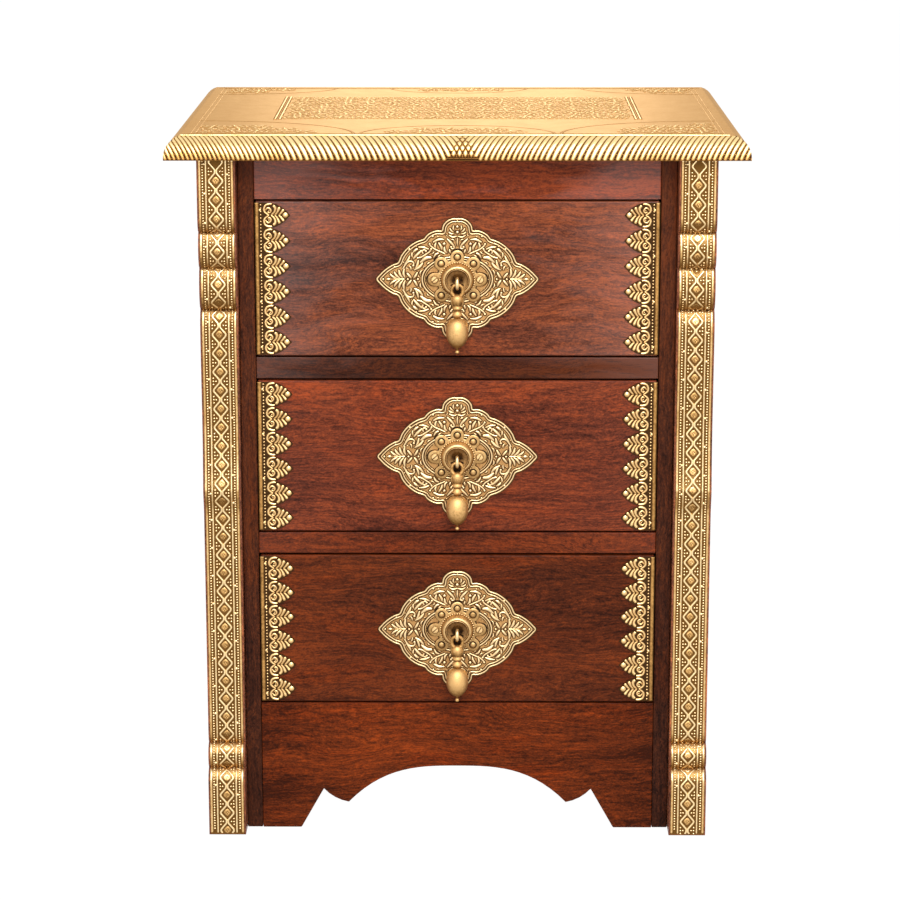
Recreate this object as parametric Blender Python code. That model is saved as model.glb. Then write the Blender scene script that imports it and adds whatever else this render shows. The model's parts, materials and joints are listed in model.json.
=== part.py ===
"""Bedside chest of three drawers in dark rosewood, dressed with embossed sheet brass.

A frame of four posts carries framed sides, a plywood back, a face frame and a moulded top.
The top and the profiled front posts are clad in sheet brass. Each drawer runs on wooden
runners and has brass lace at both ends and a drop pull that swings in its eye.

Units are metres. The origin is on the floor under the middle of the top, +Z is up, and the
drawers open towards -Y.
"""

import math

import bmesh
import bpy
from mathutils import Matrix, Vector

# Fits
GAP = 0.0003
TENON_CLEARANCE = 0.0003
MERGE_DISTANCE = 1e-6

# Face frame and drawer openings
DRAWER_NAMES = ("bottom", "middle", "top")
OPENING_WIDTH = 0.352
OPENING_HEIGHT = 0.139
DIVIDER_HEIGHT = 0.019
APRON_HEIGHT = 0.118
TOP_RAIL_HEIGHT = 0.0372
STILE_WIDTH = 0.014
FRAME_THICKNESS = 0.018
TENON_LENGTH = 0.008
TENON_THICKNESS = 0.006
TENON_SHOULDER = 0.003

# Apron cut-out, from the middle outwards
ARCH_HALF_WIDTH = 0.098
ARCH_SPRING_HEIGHT = 0.024
ARCH_RISE = 0.0345
ARCH_POWER = 3
ARCH_STEPS = 14
CUSP_OFFSET = 0.0225
CUSP_HEIGHT = 0.0367
CUSP_BOW = 0.0022
TOE_OFFSET = 0.0205

# Posts and sides
POST_WIDTH = 0.033
POST_BEHIND_FACE = 0.030
REAR_POST_DEPTH = 0.033
CARCASS_DEPTH = 0.382
SIDE_RAIL_THICKNESS = 0.020
SIDE_RAIL_INSET = 0.002
SIDE_TOP_RAIL_HEIGHT = 0.050
SIDE_BOTTOM_RAIL_HEIGHT = 0.060
SIDE_RAIL_FLOOR_GAP = 0.055
SIDE_TENON_LENGTH = 0.012
SIDE_TENON_THICKNESS = 0.008
PANEL_THICKNESS = 0.006
PANEL_HOUSING = 0.006
BACK_PANEL_INSET = 0.010
BACK_PANEL_FLOOR_GAP = 0.055

# Front post: block and rolls, as section height, projection of the crest from the face frame,
# and projection of the groove under it
FACE_SETBACK = 0.020
BLOCK = (0.0640, FACE_SETBACK, 0.0125)
UPPER_ROLL = (0.0318, 0.0180, 0.0095)
LOWER_ROLL = (0.0370, 0.0150, 0.0060)
ANKLE_ROLL = (0.0225, 0.0160, 0.0105)
FOOT_HEIGHT = 0.061

# Front post: shaft, from its shoulder down through the hollow and the knee
SHOULDER_HEIGHT = 0.018
SHOULDER_PROJECTION = 0.0128
HOLLOW_HEIGHT = 0.085
HOLLOW_PROJECTION = 0.0100
KNEE_HEIGHT = 0.057
KNEE_PROJECTION = 0.0152
KNEE_RETURN_HEIGHT = 0.022
SHAFT_PROJECTION = 0.0105
SHAFT_FOOT_GROOVE = 0.0065
EASE_HEIGHT = 0.012
ROLL_STEPS = 8
EASE_STEPS = 5
SWELL_STEPS = 4
ROLL_ANGLE = math.radians(78)

# Brass strip on the front post
POST_BRASS_MARGIN = 0.0015
POST_BRASS_FLOOR_GAP = 0.001
BRASS_THICKNESS = 0.0008

# Top
TOP_THICKNESS = 0.0195
TOP_EDGE_INSET = 0.013
TOP_EDGE_FILLET = 0.002
TOP_EDGE_STEPS = 7
TOP_EDGE_ANGLE = math.radians(76)
SIDE_OVERHANG = 0.027
FRONT_OVERHANG = 0.012
BACK_OVERHANG = 0.006

# Runners
RUNNER_LEDGE = 0.016
RUNNER_THICKNESS = 0.014
GUIDE_HEIGHT = 0.020

# Drawer boxes
FRONT_THICKNESS = 0.018
FRONT_PROUD = 0.001
FRONT_SIDE_GAP = 0.0018
FRONT_TOP_GAP = 0.0016
FRONT_BOTTOM_GAP = 0.0016
FRONT_LAP = 0.008
FRONT_EDGE_ROUND = 0.0012
FRONT_EDGE_STEPS = 2
DRAWER_SIDE_THICKNESS = 0.012
DRAWER_SIDE_HEIGHT = 0.108
DRAWER_BACK_THICKNESS = 0.012
DRAWER_BACK_DROP = 0.008
DRAWER_BOTTOM_THICKNESS = 0.004
DRAWER_BOTTOM_HEIGHT = 0.010
DRAWER_GROOVE_DEPTH = 0.005
DRAWER_STOP_CLEARANCE = 0.0015

# Brass lace on the drawer fronts
LACE_THICKNESS = 0.0006
LACE_BAND_WIDTH = 0.0095
LACE_LEAF_LENGTH = 0.0205
LACE_LEAF_COUNT = 6
LACE_LEAF_STEPS = 5
LACE_LEAF_POWER = 2.2
LACE_END_MARGIN = 0.001
LACE_RETURN = 0.010

# Back plate of the pull, one quarter of its outline
PLATE_THICKNESS = 0.0010
PLATE_TIP = (0.0705, 0.0)
PLATE_TIP_NOTCH = (0.0515, 0.0150)
PLATE_SIDE_NOTCH = (0.0293, 0.0355)
PLATE_CROWN_NOTCH = (0.0137, 0.0430)
PLATE_CROWN = (0.0, 0.0534)
PLATE_BULGES = (0.0020, 0.0038, 0.0024, 0.0038)
PLATE_ARC_STEPS = 5

# Cast rosette
PETAL_COUNT = 8
PETAL_ORBIT = 0.0197
PETAL_RADIUS = 0.0060
PETAL_ARC = math.radians(100)
PETAL_STEPS = 6
PETAL_VALLEY_RADIUS = 0.0175
PETAL_DISC_THICKNESS = 0.0020
PETAL_BOSS_RADIUS = 0.0034
PETAL_BOSS_HEIGHT = 0.0010
PETAL_BOSS_SIDES = 12
DOME_FOOT_RADIUS = 0.0146
DOME_FOOT_HEIGHT = 0.0012
DOME_CREST_RADIUS = 0.0121
DOME_HEIGHT = 0.0075
DOME_CUP_RADIUS = 0.0096
DOME_CUP_DEPTH = 0.0045
DOME_LIP_DEPTH = 0.0026
DOME_STEPS = 4
TURNED_STEPS = 20
SMOOTH_ANGLE = math.radians(40)

# Split pin with its eye, and the drop that hangs in it
PIN_WIRE_RADIUS = 0.00105
PIN_STRAND_OFFSET = 0.00135
PIN_HOLE_CLEARANCE = 0.0004
PIN_LEG_LENGTH = 0.014
PIN_BEND_RADIUS = 0.0022
PIN_BEND_STEPS = 3
EYE_WIRE_RADIUS = 0.0015
EYE_RADIUS = 0.0042
EYE_REACH = 0.0150
EYE_DROOP = 0.0016
EYE_NECK = 0.0060
EYE_STEPS = 14
LINK_RADIUS = 0.0048
LINK_STRAIGHT = 0.0012
LINK_WIRE_RADIUS = 0.0014
LINK_STEPS = 8
LINK_SIDES = 8

# Turned drop under the link, as length and radius of each swelling, radius of the groove under it,
# and how far its widest place leans up
DROP_NECK = (0.0072, 0.0052, 0.0037, 0.65)
DROP_BEAD = (0.0046, 0.0043, 0.0030, 1.0)
DROP_COLLAR = (0.0066, 0.0043, 0.0027, 1.0)
DROP_BEAD_STEPS = 5
DROP_EGG_LENGTH = 0.0265
DROP_EGG_RADIUS = 0.0097
DROP_EGG_LEAN = 0.86
DROP_EGG_FULLNESS = 2.2
DROP_EGG_STEPS = 10
FINIAL_NECK_LENGTH = 0.0016
FINIAL_NECK_RADIUS = 0.0011
FINIAL_LENGTH = 0.0033
FINIAL_RADIUS = 0.0018

# Places that follow from the sizes
FRAME_TOP = (
    APRON_HEIGHT
    + len(DRAWER_NAMES) * OPENING_HEIGHT
    + (len(DRAWER_NAMES) - 1) * DIVIDER_HEIGHT
    + TOP_RAIL_HEIGHT
)
UNDERSIDE = FRAME_TOP + GAP
TOP_DEPTH = FRONT_OVERHANG + CARCASS_DEPTH + BACK_OVERHANG
POST_INNER = OPENING_WIDTH / 2 + STILE_WIDTH
POST_OUTER = POST_INNER + POST_WIDTH
TOP_WIDTH = 2 * (POST_OUTER + SIDE_OVERHANG)
POST_FRONT = -TOP_DEPTH / 2 + FRONT_OVERHANG
FACE = POST_FRONT + FACE_SETBACK
FRAME_BACK = FACE + FRAME_THICKNESS
POST_BACK = FACE + POST_BEHIND_FACE
KNEE_RISE = KNEE_PROJECTION - HOLLOW_PROJECTION
CARCASS_BACK = POST_FRONT + CARCASS_DEPTH
REAR_POST_FRONT = CARCASS_BACK - REAR_POST_DEPTH
BACK_PANEL_FRONT = CARCASS_BACK - BACK_PANEL_INSET - PANEL_THICKNESS
SIDE_RAIL_OUTER = POST_OUTER - SIDE_RAIL_INSET
SIDE_RAIL_INNER = SIDE_RAIL_OUTER - SIDE_RAIL_THICKNESS
SIDE_CENTRE = (SIDE_RAIL_OUTER + SIDE_RAIL_INNER) / 2
SIDE_BOTTOM_RAIL_TOP = SIDE_RAIL_FLOOR_GAP + SIDE_BOTTOM_RAIL_HEIGHT
SIDE_TOP_RAIL_BOTTOM = FRAME_TOP - SIDE_TOP_RAIL_HEIGHT
FRONT_WIDTH = OPENING_WIDTH - 2 * FRONT_SIDE_GAP
FRONT_TOP = OPENING_HEIGHT - FRONT_TOP_GAP
FRONT_BACK = FRONT_THICKNESS - FRONT_PROUD
DRAWER_REAR = BACK_PANEL_FRONT - DRAWER_STOP_CLEARANCE - FACE
DRAWER_INNER = FRONT_WIDTH / 2 - DRAWER_SIDE_THICKNESS
DRAWER_BOTTOM_TOP = DRAWER_BOTTOM_HEIGHT + DRAWER_BOTTOM_THICKNESS
HANDLE_HEIGHT = (FRONT_BOTTOM_GAP + FRONT_TOP) / 2
PLATE_FRONT = GAP + PLATE_THICKNESS
ROSETTE_BACK = PLATE_FRONT + GAP
PIN_HOLE_RADIUS = PIN_STRAND_OFFSET + PIN_WIRE_RADIUS + PIN_HOLE_CLEARANCE
LINK_HANG = EYE_RADIUS - EYE_WIRE_RADIUS - LINK_WIRE_RADIUS - GAP
ARCH_TOP = ARCH_SPRING_HEIGHT + ARCH_RISE


# Mesh helpers


def add_box(bm, low, high):
    """Adds a closed box between two corners."""
    low = Vector(low)
    high = Vector(high)
    size = high - low
    place = Matrix.Translation((low + high) / 2) @ Matrix.Diagonal((*size, 1))
    bmesh.ops.create_cube(bm, size=1, matrix=place)


def add_prism(bm, outline, axis, low, high):
    """Adds an outline drawn across an axis and extruded along it from low to high."""
    index = "xyz".index(axis)

    def point(pair, level):
        values = list(pair)
        values.insert(index, level)
        return Vector(values)

    face = bm.faces.new([bm.verts.new(point(pair, low)) for pair in outline])
    grown = bmesh.ops.extrude_face_region(bm, geom=[face])
    moved = [item for item in grown["geom"] if isinstance(item, bmesh.types.BMVert)]
    shift = Vector((0, 0, 0))
    shift[index] = high - low
    bmesh.ops.translate(bm, verts=moved, vec=shift)


def add_turned(bm, profile, axis, steps=TURNED_STEPS):
    """Adds a solid turned about an axis from (radius, height) pairs that start and end on it."""
    along = Vector((0, 0, 0))
    along["xyz".index(axis)] = 1
    across = Vector((1, 0, 0))
    verts = [bm.verts.new(across * radius + along * height) for radius, height in profile]
    edges = [bm.edges.new(pair) for pair in zip(verts, verts[1:])]
    bmesh.ops.spin(
        bm,
        geom=verts + edges,
        cent=(0, 0, 0),
        axis=along,
        angle=2 * math.pi,
        steps=steps,
        use_merge=True,
    )
    bmesh.ops.remove_doubles(bm, verts=bm.verts, dist=MERGE_DISTANCE)


def finish_mesh(bm, name):
    """Returns the mesh with its faces pointing out."""
    bmesh.ops.recalc_face_normals(bm, faces=bm.faces)
    mesh = bpy.data.meshes.new(name)
    bm.to_mesh(mesh)
    bm.free()
    return mesh


def box_mesh(name, low, high):
    """Returns the mesh of one box."""
    bm = bmesh.new()
    add_box(bm, low, high)
    return finish_mesh(bm, name)


def prism_mesh(name, outline, axis, low, high):
    """Returns the mesh of one extruded outline."""
    bm = bmesh.new()
    add_prism(bm, outline, axis, low, high)
    return finish_mesh(bm, name)


def rod_mesh(name, radius, low, high, steps=TURNED_STEPS):
    """Returns a rod along Y."""
    bm = bmesh.new()
    add_turned(bm, [(0, low), (radius, low), (radius, high), (0, high)], "y", steps)
    return finish_mesh(bm, name)


def combined(mesh, tools, operation):
    """Returns the mesh after each tool mesh is cut from it or joined to it."""
    body = bpy.data.objects.new("body", mesh)
    bpy.context.scene.collection.objects.link(body)
    helpers = []
    for tool in tools:
        helper = bpy.data.objects.new("tool", tool)
        bpy.context.scene.collection.objects.link(helper)
        modifier = body.modifiers.new("boolean", "BOOLEAN")
        modifier.operation = operation
        modifier.object = helper
        helpers.append(helper)
    graph = bpy.context.evaluated_depsgraph_get()
    result = bpy.data.meshes.new_from_object(body.evaluated_get(graph))
    result.name = mesh.name
    for obj in [body, *helpers]:
        bpy.data.objects.remove(obj)
    return result


def cut(mesh, *tools):
    """Returns the mesh less the tools."""
    return combined(mesh, tools, "DIFFERENCE")


def joined(mesh, *tools):
    """Returns the mesh and the tools as one body."""
    return combined(mesh, tools, "UNION")


def mirrored(mesh, name):
    """Returns the mesh mirrored across X."""
    bm = bmesh.new()
    bm.from_mesh(mesh)
    bmesh.ops.scale(bm, vec=(-1, 1, 1), verts=bm.verts)
    bmesh.ops.reverse_faces(bm, faces=bm.faces)
    return finish_mesh(bm, name)


def make_material(name, colour, roughness, metallic):
    """Returns a plain finish."""
    made = bpy.data.materials.new(name)
    made.use_nodes = True
    shader = made.node_tree.nodes["Principled BSDF"]
    shader.inputs["Base Color"].default_value = (*colour, 1)
    shader.inputs["Roughness"].default_value = roughness
    shader.inputs["Metallic"].default_value = metallic
    return made


def place(name, data, finish, parent=None, location=(0, 0, 0)):
    """Adds a named piece to the scene."""
    obj = bpy.data.objects.new(name, data)
    bpy.context.scene.collection.objects.link(obj)
    if not data.materials:
        data.materials.append(finish)
    obj.parent = parent
    obj.location = location
    return obj


def add_empty(name, location, parent=None):
    """Adds an empty that carries the pieces of one moving group."""
    empty = bpy.data.objects.new(name, None)
    bpy.context.scene.collection.objects.link(empty)
    empty.parent = parent
    empty.location = location
    return empty


def smooth(mesh):
    """Shades a turned or cast mesh smooth, with its edges kept sharp."""
    mesh.shade_smooth()
    mesh.set_sharp_from_angle(angle=SMOOTH_ANGLE)
    return mesh


# Outlines


def arc_between(start, end, bulge, steps):
    """Points of an arc from start to end, bowed to the left of the way by bulge, without its end."""
    start = Vector(start)
    end = Vector(end)
    chord = end - start
    half = chord.length / 2
    normal = Vector((-chord.y, chord.x)).normalized()
    radius = (half**2 + bulge**2) / (2 * abs(bulge))
    centre = (start + end) / 2 + normal * (bulge - math.copysign(radius, bulge))
    first = start - centre
    turn = -math.copysign(2 * math.asin(half / radius), bulge)
    points = []
    for step in range(steps):
        angle = turn * step / steps
        points.append(centre + Matrix.Rotation(angle, 2) @ first)
    return [tuple(point) for point in points]


def eased(height, start, end, steps, rising):
    """Quarter curve down the front of a post, as (drop, projection) pairs, without its last point."""
    pairs = []
    for step in range(steps):
        angle = ROLL_ANGLE * (1 - step / steps if rising else step / steps)
        drop = math.sin(angle) / math.sin(ROLL_ANGLE)
        bow = (math.cos(angle) - math.cos(ROLL_ANGLE)) / (1 - math.cos(ROLL_ANGLE))
        if rising:
            pairs.append((height * (1 - drop), start + (end - start) * bow))
        else:
            pairs.append((height * drop, end + (start - end) * bow))
    return pairs


def rolled(height, crest, above, below):
    """Convex roll between two grooves, as (drop, projection) pairs, without its last point."""
    pairs = []
    for step in range(ROLL_STEPS):
        share = step / ROLL_STEPS
        angle = ROLL_ANGLE * (2 * share - 1)
        drop = (1 + math.sin(angle) / math.sin(ROLL_ANGLE)) / 2
        bow = (math.cos(angle) - math.cos(ROLL_ANGLE)) / (1 - math.cos(ROLL_ANGLE))
        base = above + (below - above) * drop
        pairs.append((height * drop, base + (crest - base) * bow))
    return pairs


def swayed(height, start, end):
    """Gentle double curve down a post, as (drop, projection) pairs, without its last point."""
    pairs = []
    for step in range(SWELL_STEPS):
        share = step / SWELL_STEPS
        pairs.append((height * share, start + (end - start) * (1 - math.cos(math.pi * share)) / 2))
    return pairs


def post_profile(top):
    """Front of a post from its top to the floor, as (height, projection) pairs."""
    block_height, block_crest, block_groove = BLOCK
    shaft_top = FRAME_TOP - block_height - UPPER_ROLL[0] - LOWER_ROLL[0]
    shaft_bottom = ANKLE_ROLL[0] + FOOT_HEIGHT
    points = [(top, block_crest)]
    level = FRAME_TOP - block_height
    for drop, projection in eased(EASE_HEIGHT, block_crest, block_groove, EASE_STEPS, False):
        points.append((level + EASE_HEIGHT - drop, projection))
    above = block_groove
    for height, crest, below in (UPPER_ROLL, LOWER_ROLL):
        for drop, projection in rolled(height, crest, above, below):
            points.append((level - drop, projection))
        level -= height
        above = below
    for drop, projection in eased(SHOULDER_HEIGHT, above, SHOULDER_PROJECTION, EASE_STEPS, True):
        points.append((shaft_top - drop, projection))
    level = shaft_top - SHOULDER_HEIGHT
    for drop, projection in swayed(HOLLOW_HEIGHT, SHOULDER_PROJECTION, HOLLOW_PROJECTION):
        points.append((level - drop, projection))
    level -= HOLLOW_HEIGHT
    for step in range(SWELL_STEPS):
        share = step / SWELL_STEPS
        points.append((level - KNEE_HEIGHT * share, HOLLOW_PROJECTION + KNEE_RISE * share**2))
    level -= KNEE_HEIGHT
    for drop, projection in swayed(KNEE_RETURN_HEIGHT, KNEE_PROJECTION, SHAFT_PROJECTION):
        points.append((level - drop, projection))
    points.append((level - KNEE_RETURN_HEIGHT, SHAFT_PROJECTION))
    for drop, projection in eased(EASE_HEIGHT, SHAFT_PROJECTION, SHAFT_FOOT_GROOVE, EASE_STEPS, False):
        points.append((shaft_bottom + EASE_HEIGHT - drop, projection))
    height, crest, below = ANKLE_ROLL
    for drop, projection in rolled(height, crest, SHAFT_FOOT_GROOVE, below):
        points.append((shaft_bottom - drop, projection))
    for drop, projection in eased(EASE_HEIGHT, below, FACE_SETBACK, EASE_STEPS, True):
        points.append((FOOT_HEIGHT - drop, projection))
    points.append((FOOT_HEIGHT - EASE_HEIGHT, FACE_SETBACK))
    points.append((0, FACE_SETBACK))
    return points


def apron_outline():
    """Apron seen from the front, with its arch, cusps and toes."""
    half = OPENING_WIDTH / 2 - GAP
    toe = ARCH_HALF_WIDTH + CUSP_OFFSET + TOE_OFFSET
    cusp = (ARCH_HALF_WIDTH + CUSP_OFFSET, CUSP_HEIGHT)
    right = []
    for step in range(ARCH_STEPS):
        share = step / ARCH_STEPS
        rise = ARCH_SPRING_HEIGHT + ARCH_RISE * (1 - share**ARCH_POWER)
        right.append((ARCH_HALF_WIDTH * share, rise))
    right += arc_between((ARCH_HALF_WIDTH, ARCH_SPRING_HEIGHT), cusp, -CUSP_BOW, ARCH_STEPS // 3)
    right += [cusp, (toe, 0), (half, 0), (half, APRON_HEIGHT)]
    left = [(-x, z) for x, z in reversed(right[1:])]
    return right + left


def plate_outline():
    """Scalloped outline of the pull's back plate."""
    stops = (PLATE_TIP, PLATE_TIP_NOTCH, PLATE_SIDE_NOTCH, PLATE_CROWN_NOTCH, PLATE_CROWN)
    quarter = []
    for start, end, bulge in zip(stops, stops[1:], PLATE_BULGES):
        quarter += arc_between(start, end, -bulge, PLATE_ARC_STEPS)
    upper = quarter + [PLATE_CROWN] + [(-x, z) for x, z in reversed(quarter)]
    lower = [(x, -z) for x, z in reversed(upper[1:-1])]
    return upper + lower


def petal_outline():
    """Rosette disc with its round petals."""
    points = []
    for index in range(PETAL_COUNT):
        middle = 2 * math.pi * index / PETAL_COUNT
        for step in range(PETAL_STEPS + 1):
            angle = middle + PETAL_ARC * (2 * step / PETAL_STEPS - 1)
            x = PETAL_ORBIT * math.cos(middle) + PETAL_RADIUS * math.cos(angle)
            z = PETAL_ORBIT * math.sin(middle) + PETAL_RADIUS * math.sin(angle)
            points.append((x, z))
        valley = middle + math.pi / PETAL_COUNT
        x = PETAL_VALLEY_RADIUS * math.cos(valley)
        z = PETAL_VALLEY_RADIUS * math.sin(valley)
        points.append((x, z))
    return points


def lace_outline():
    """Lace along the left end of a drawer front, as (x, z) from that end, with its row of leaves."""
    height = FRONT_TOP - FRONT_BOTTOM_GAP - 2 * LACE_END_MARGIN
    low = FRONT_BOTTOM_GAP + LACE_END_MARGIN
    pitch = height / LACE_LEAF_COUNT
    outer = -GAP - LACE_THICKNESS
    points = [(outer, low + height), (outer, low)]
    for leaf in range(LACE_LEAF_COUNT):
        middle = low + pitch * (leaf + 0.5)
        rising = []
        for step in range(LACE_LEAF_STEPS):
            share = step / LACE_LEAF_STEPS
            width = (1 - share**LACE_LEAF_POWER) * pitch / 2
            rising.append((LACE_BAND_WIDTH + LACE_LEAF_LENGTH * share, width))
        points += [(x, middle - width) for x, width in rising]
        points.append((LACE_BAND_WIDTH + LACE_LEAF_LENGTH, middle))
        points += [(x, middle + width) for x, width in reversed(rising[1:])]
    points.append((LACE_BAND_WIDTH, low + height))
    return points


# Top


def top_block(name, skin, bottom, back):
    """Moulded block of the top, taken in from the brass surface by skin, between bottom and back."""
    rows = [(skin, bottom)]
    rise = TOP_THICKNESS - TOP_EDGE_FILLET
    for step in range(TOP_EDGE_STEPS + 1):
        angle = TOP_EDGE_ANGLE * step / TOP_EDGE_STEPS
        inset = TOP_EDGE_INSET * (1 - math.cos(angle)) / (1 - math.cos(TOP_EDGE_ANGLE))
        level = TOP_EDGE_FILLET + rise * math.sin(angle) / math.sin(TOP_EDGE_ANGLE)
        rows.append((inset + skin, UNDERSIDE + level - skin))
    bm = bmesh.new()
    loops = []
    for inset, level in rows:
        side = TOP_WIDTH / 2 - inset
        front = -TOP_DEPTH / 2 + inset
        corners = ((-side, front), (side, front), (side, back), (-side, back))
        loops.append([bm.verts.new((x, y, level)) for x, y in corners])
    for low, high in zip(loops, loops[1:]):
        for index in range(4):
            after = (index + 1) % 4
            bm.faces.new((low[index], low[after], high[after], high[index]))
    bm.faces.new(loops[0])
    bm.faces.new(loops[-1])
    return finish_mesh(bm, name)


def build_top(wood, brass):
    """Board of the top and the brass sheet dressed over its face, front and sides."""
    back = TOP_DEPTH / 2
    board = top_block("top_board", BRASS_THICKNESS + GAP, UNDERSIDE, back)
    sheet = top_block("top_brass_sheet", 0, UNDERSIDE, back)
    inside = top_block("inside", BRASS_THICKNESS, UNDERSIDE - TOP_THICKNESS, back + TOP_THICKNESS)
    place("top_board", board, wood)
    place("top_brass_sheet", cut(sheet, inside), brass)


# Posts, sides and back


def side_mortises():
    """Cutters, on the left side, for the tenons of the side rails and the housing of the side panel."""
    tools = []
    reach = SIDE_TENON_LENGTH + TENON_CLEARANCE
    half = SIDE_TENON_THICKNESS / 2 + TENON_CLEARANCE
    spans = (
        (SIDE_RAIL_FLOOR_GAP, SIDE_BOTTOM_RAIL_TOP),
        (SIDE_TOP_RAIL_BOTTOM, FRAME_TOP),
    )
    for low, high in spans:
        tools.append(
            box_mesh(
                "mortise",
                (-SIDE_CENTRE - half, POST_BACK - reach, low + TENON_SHOULDER - TENON_CLEARANCE),
                (-SIDE_CENTRE + half, REAR_POST_FRONT + reach, high - TENON_SHOULDER + TENON_CLEARANCE),
            )
        )
    half = PANEL_THICKNESS / 2 + GAP
    housing = PANEL_HOUSING + GAP
    tools.append(
        box_mesh(
            "housing",
            (-SIDE_CENTRE - half, POST_BACK - housing, SIDE_BOTTOM_RAIL_TOP - housing),
            (-SIDE_CENTRE + half, REAR_POST_FRONT + housing, SIDE_TOP_RAIL_BOTTOM + housing),
        )
    )
    return tools


def front_post_mesh():
    """Left front post, with its profiled front and the housings in its back."""
    outline = [(FACE - projection, height) for height, projection in post_profile(FRAME_TOP)]
    outline += [(POST_BACK, 0), (POST_BACK, FRAME_TOP)]
    post = prism_mesh("front_post", outline, "x", -POST_OUTER, -POST_INNER)
    return cut(post, *side_mortises())


def post_brass_mesh():
    """Brass strip dressed over the front of the left front post."""
    front = []
    for height, projection in post_profile(FRAME_TOP):
        front.append((FACE - projection - GAP, max(height, POST_BRASS_FLOOR_GAP)))
    outer = [(y - BRASS_THICKNESS, height) for y, height in reversed(front)]
    low = -POST_OUTER + POST_BRASS_MARGIN
    high = -POST_INNER - POST_BRASS_MARGIN
    return prism_mesh("post_brass", front + outer, "x", low, high)


def back_housing():
    """Cutter for the groove that holds the back panel in both rear posts."""
    reach = POST_INNER + PANEL_HOUSING + GAP
    return box_mesh(
        "back_housing",
        (-reach, BACK_PANEL_FRONT - GAP, BACK_PANEL_FLOOR_GAP - GAP),
        (reach, BACK_PANEL_FRONT + PANEL_THICKNESS + GAP, UNDERSIDE + GAP),
    )


def rear_post_mesh():
    """Left rear post, with the housings for the side and the back."""
    post = box_mesh("rear_post", (-POST_OUTER, REAR_POST_FRONT, 0), (-POST_INNER, CARCASS_BACK, FRAME_TOP))
    return cut(post, *side_mortises(), back_housing())


def side_rail_mesh(name, low, high, panel_low, panel_high):
    """Left side rail between the posts, tenoned at both ends and grooved for the panel."""
    rail = box_mesh(
        name, (-SIDE_RAIL_OUTER, POST_BACK + GAP, low), (-SIDE_RAIL_INNER, REAR_POST_FRONT - GAP, high)
    )
    half = SIDE_TENON_THICKNESS / 2
    tenon = box_mesh(
        "tenon",
        (-SIDE_CENTRE - half, POST_BACK - SIDE_TENON_LENGTH, low + TENON_SHOULDER),
        (-SIDE_CENTRE + half, REAR_POST_FRONT + SIDE_TENON_LENGTH, high - TENON_SHOULDER),
    )
    half = PANEL_THICKNESS / 2 + GAP
    groove = box_mesh(
        "groove",
        (-SIDE_CENTRE - half, POST_BACK - CARCASS_DEPTH, panel_low),
        (-SIDE_CENTRE + half, REAR_POST_FRONT + CARCASS_DEPTH, panel_high),
    )
    return cut(joined(rail, tenon), groove)


def side_panel_mesh():
    """Left side panel, held in the posts and rails on all four edges."""
    half = PANEL_THICKNESS / 2
    return box_mesh(
        "side_panel",
        (-SIDE_CENTRE - half, POST_BACK - PANEL_HOUSING, SIDE_BOTTOM_RAIL_TOP - PANEL_HOUSING),
        (-SIDE_CENTRE + half, REAR_POST_FRONT + PANEL_HOUSING, SIDE_TOP_RAIL_BOTTOM + PANEL_HOUSING),
    )


def runner_mesh(bottom):
    """Left runner of one opening: a ledge under the drawer side and a guide beside it."""
    outer = -POST_INNER + GAP
    guide = -OPENING_WIDTH / 2
    outline = (
        (outer, bottom - RUNNER_THICKNESS),
        (guide + RUNNER_LEDGE, bottom - RUNNER_THICKNESS),
        (guide + RUNNER_LEDGE, bottom),
        (guide, bottom),
        (guide, bottom + GUIDE_HEIGHT),
        (outer, bottom + GUIDE_HEIGHT),
    )
    return prism_mesh("runner", outline, "y", FRAME_BACK + GAP, BACK_PANEL_FRONT - GAP)


def opening_bottom(index):
    """Height of the floor of one drawer opening."""
    return APRON_HEIGHT + index * (OPENING_HEIGHT + DIVIDER_HEIGHT)


def build_sides(wood, brass, ply):
    """Posts, framed sides, runners and the back."""
    rails = {
        "side_top_rail": (
            SIDE_TOP_RAIL_BOTTOM,
            FRAME_TOP,
            SIDE_TOP_RAIL_BOTTOM - SIDE_TOP_RAIL_HEIGHT,
            SIDE_TOP_RAIL_BOTTOM + PANEL_HOUSING + GAP,
        ),
        "side_bottom_rail": (
            SIDE_RAIL_FLOOR_GAP,
            SIDE_BOTTOM_RAIL_TOP,
            SIDE_BOTTOM_RAIL_TOP - PANEL_HOUSING - GAP,
            SIDE_BOTTOM_RAIL_TOP + SIDE_BOTTOM_RAIL_HEIGHT,
        ),
    }
    pieces = [
        ("front_post", front_post_mesh(), wood),
        ("post_brass", post_brass_mesh(), brass),
        ("rear_post", rear_post_mesh(), wood),
        ("side_panel", side_panel_mesh(), wood),
    ]
    for name, spans in rails.items():
        pieces.append((name, side_rail_mesh(name, *spans), wood))
    for index, drawer in enumerate(DRAWER_NAMES):
        pieces.append((f"{drawer}_runner", runner_mesh(opening_bottom(index)), wood))
    for name, mesh, finish in pieces:
        place(f"left_{name}", mesh, finish)
        place(f"right_{name}", mirrored(mesh, name), finish)
    reach = POST_INNER + PANEL_HOUSING
    back = box_mesh(
        "back_panel",
        (-reach, BACK_PANEL_FRONT, BACK_PANEL_FLOOR_GAP),
        (reach, BACK_PANEL_FRONT + PANEL_THICKNESS, FRAME_TOP),
    )
    place("back_panel", back, ply)


# Face frame


def frame_members():
    """Members between the stiles, as name and the heights of their lower and upper edges."""
    members = [("apron", 0, APRON_HEIGHT)]
    names = ("lower_divider", "upper_divider")
    for index, name in enumerate(names, start=1):
        members.append((name, opening_bottom(index) - DIVIDER_HEIGHT, opening_bottom(index)))
    members.append(("top_rail", FRAME_TOP - TOP_RAIL_HEIGHT, FRAME_TOP))
    return members


def tenon_heights(name, low, high):
    """Lower and upper edge of a member's tenon."""
    bottom = ARCH_TOP if name == "apron" else low
    return bottom + TENON_SHOULDER, high - TENON_SHOULDER


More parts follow.
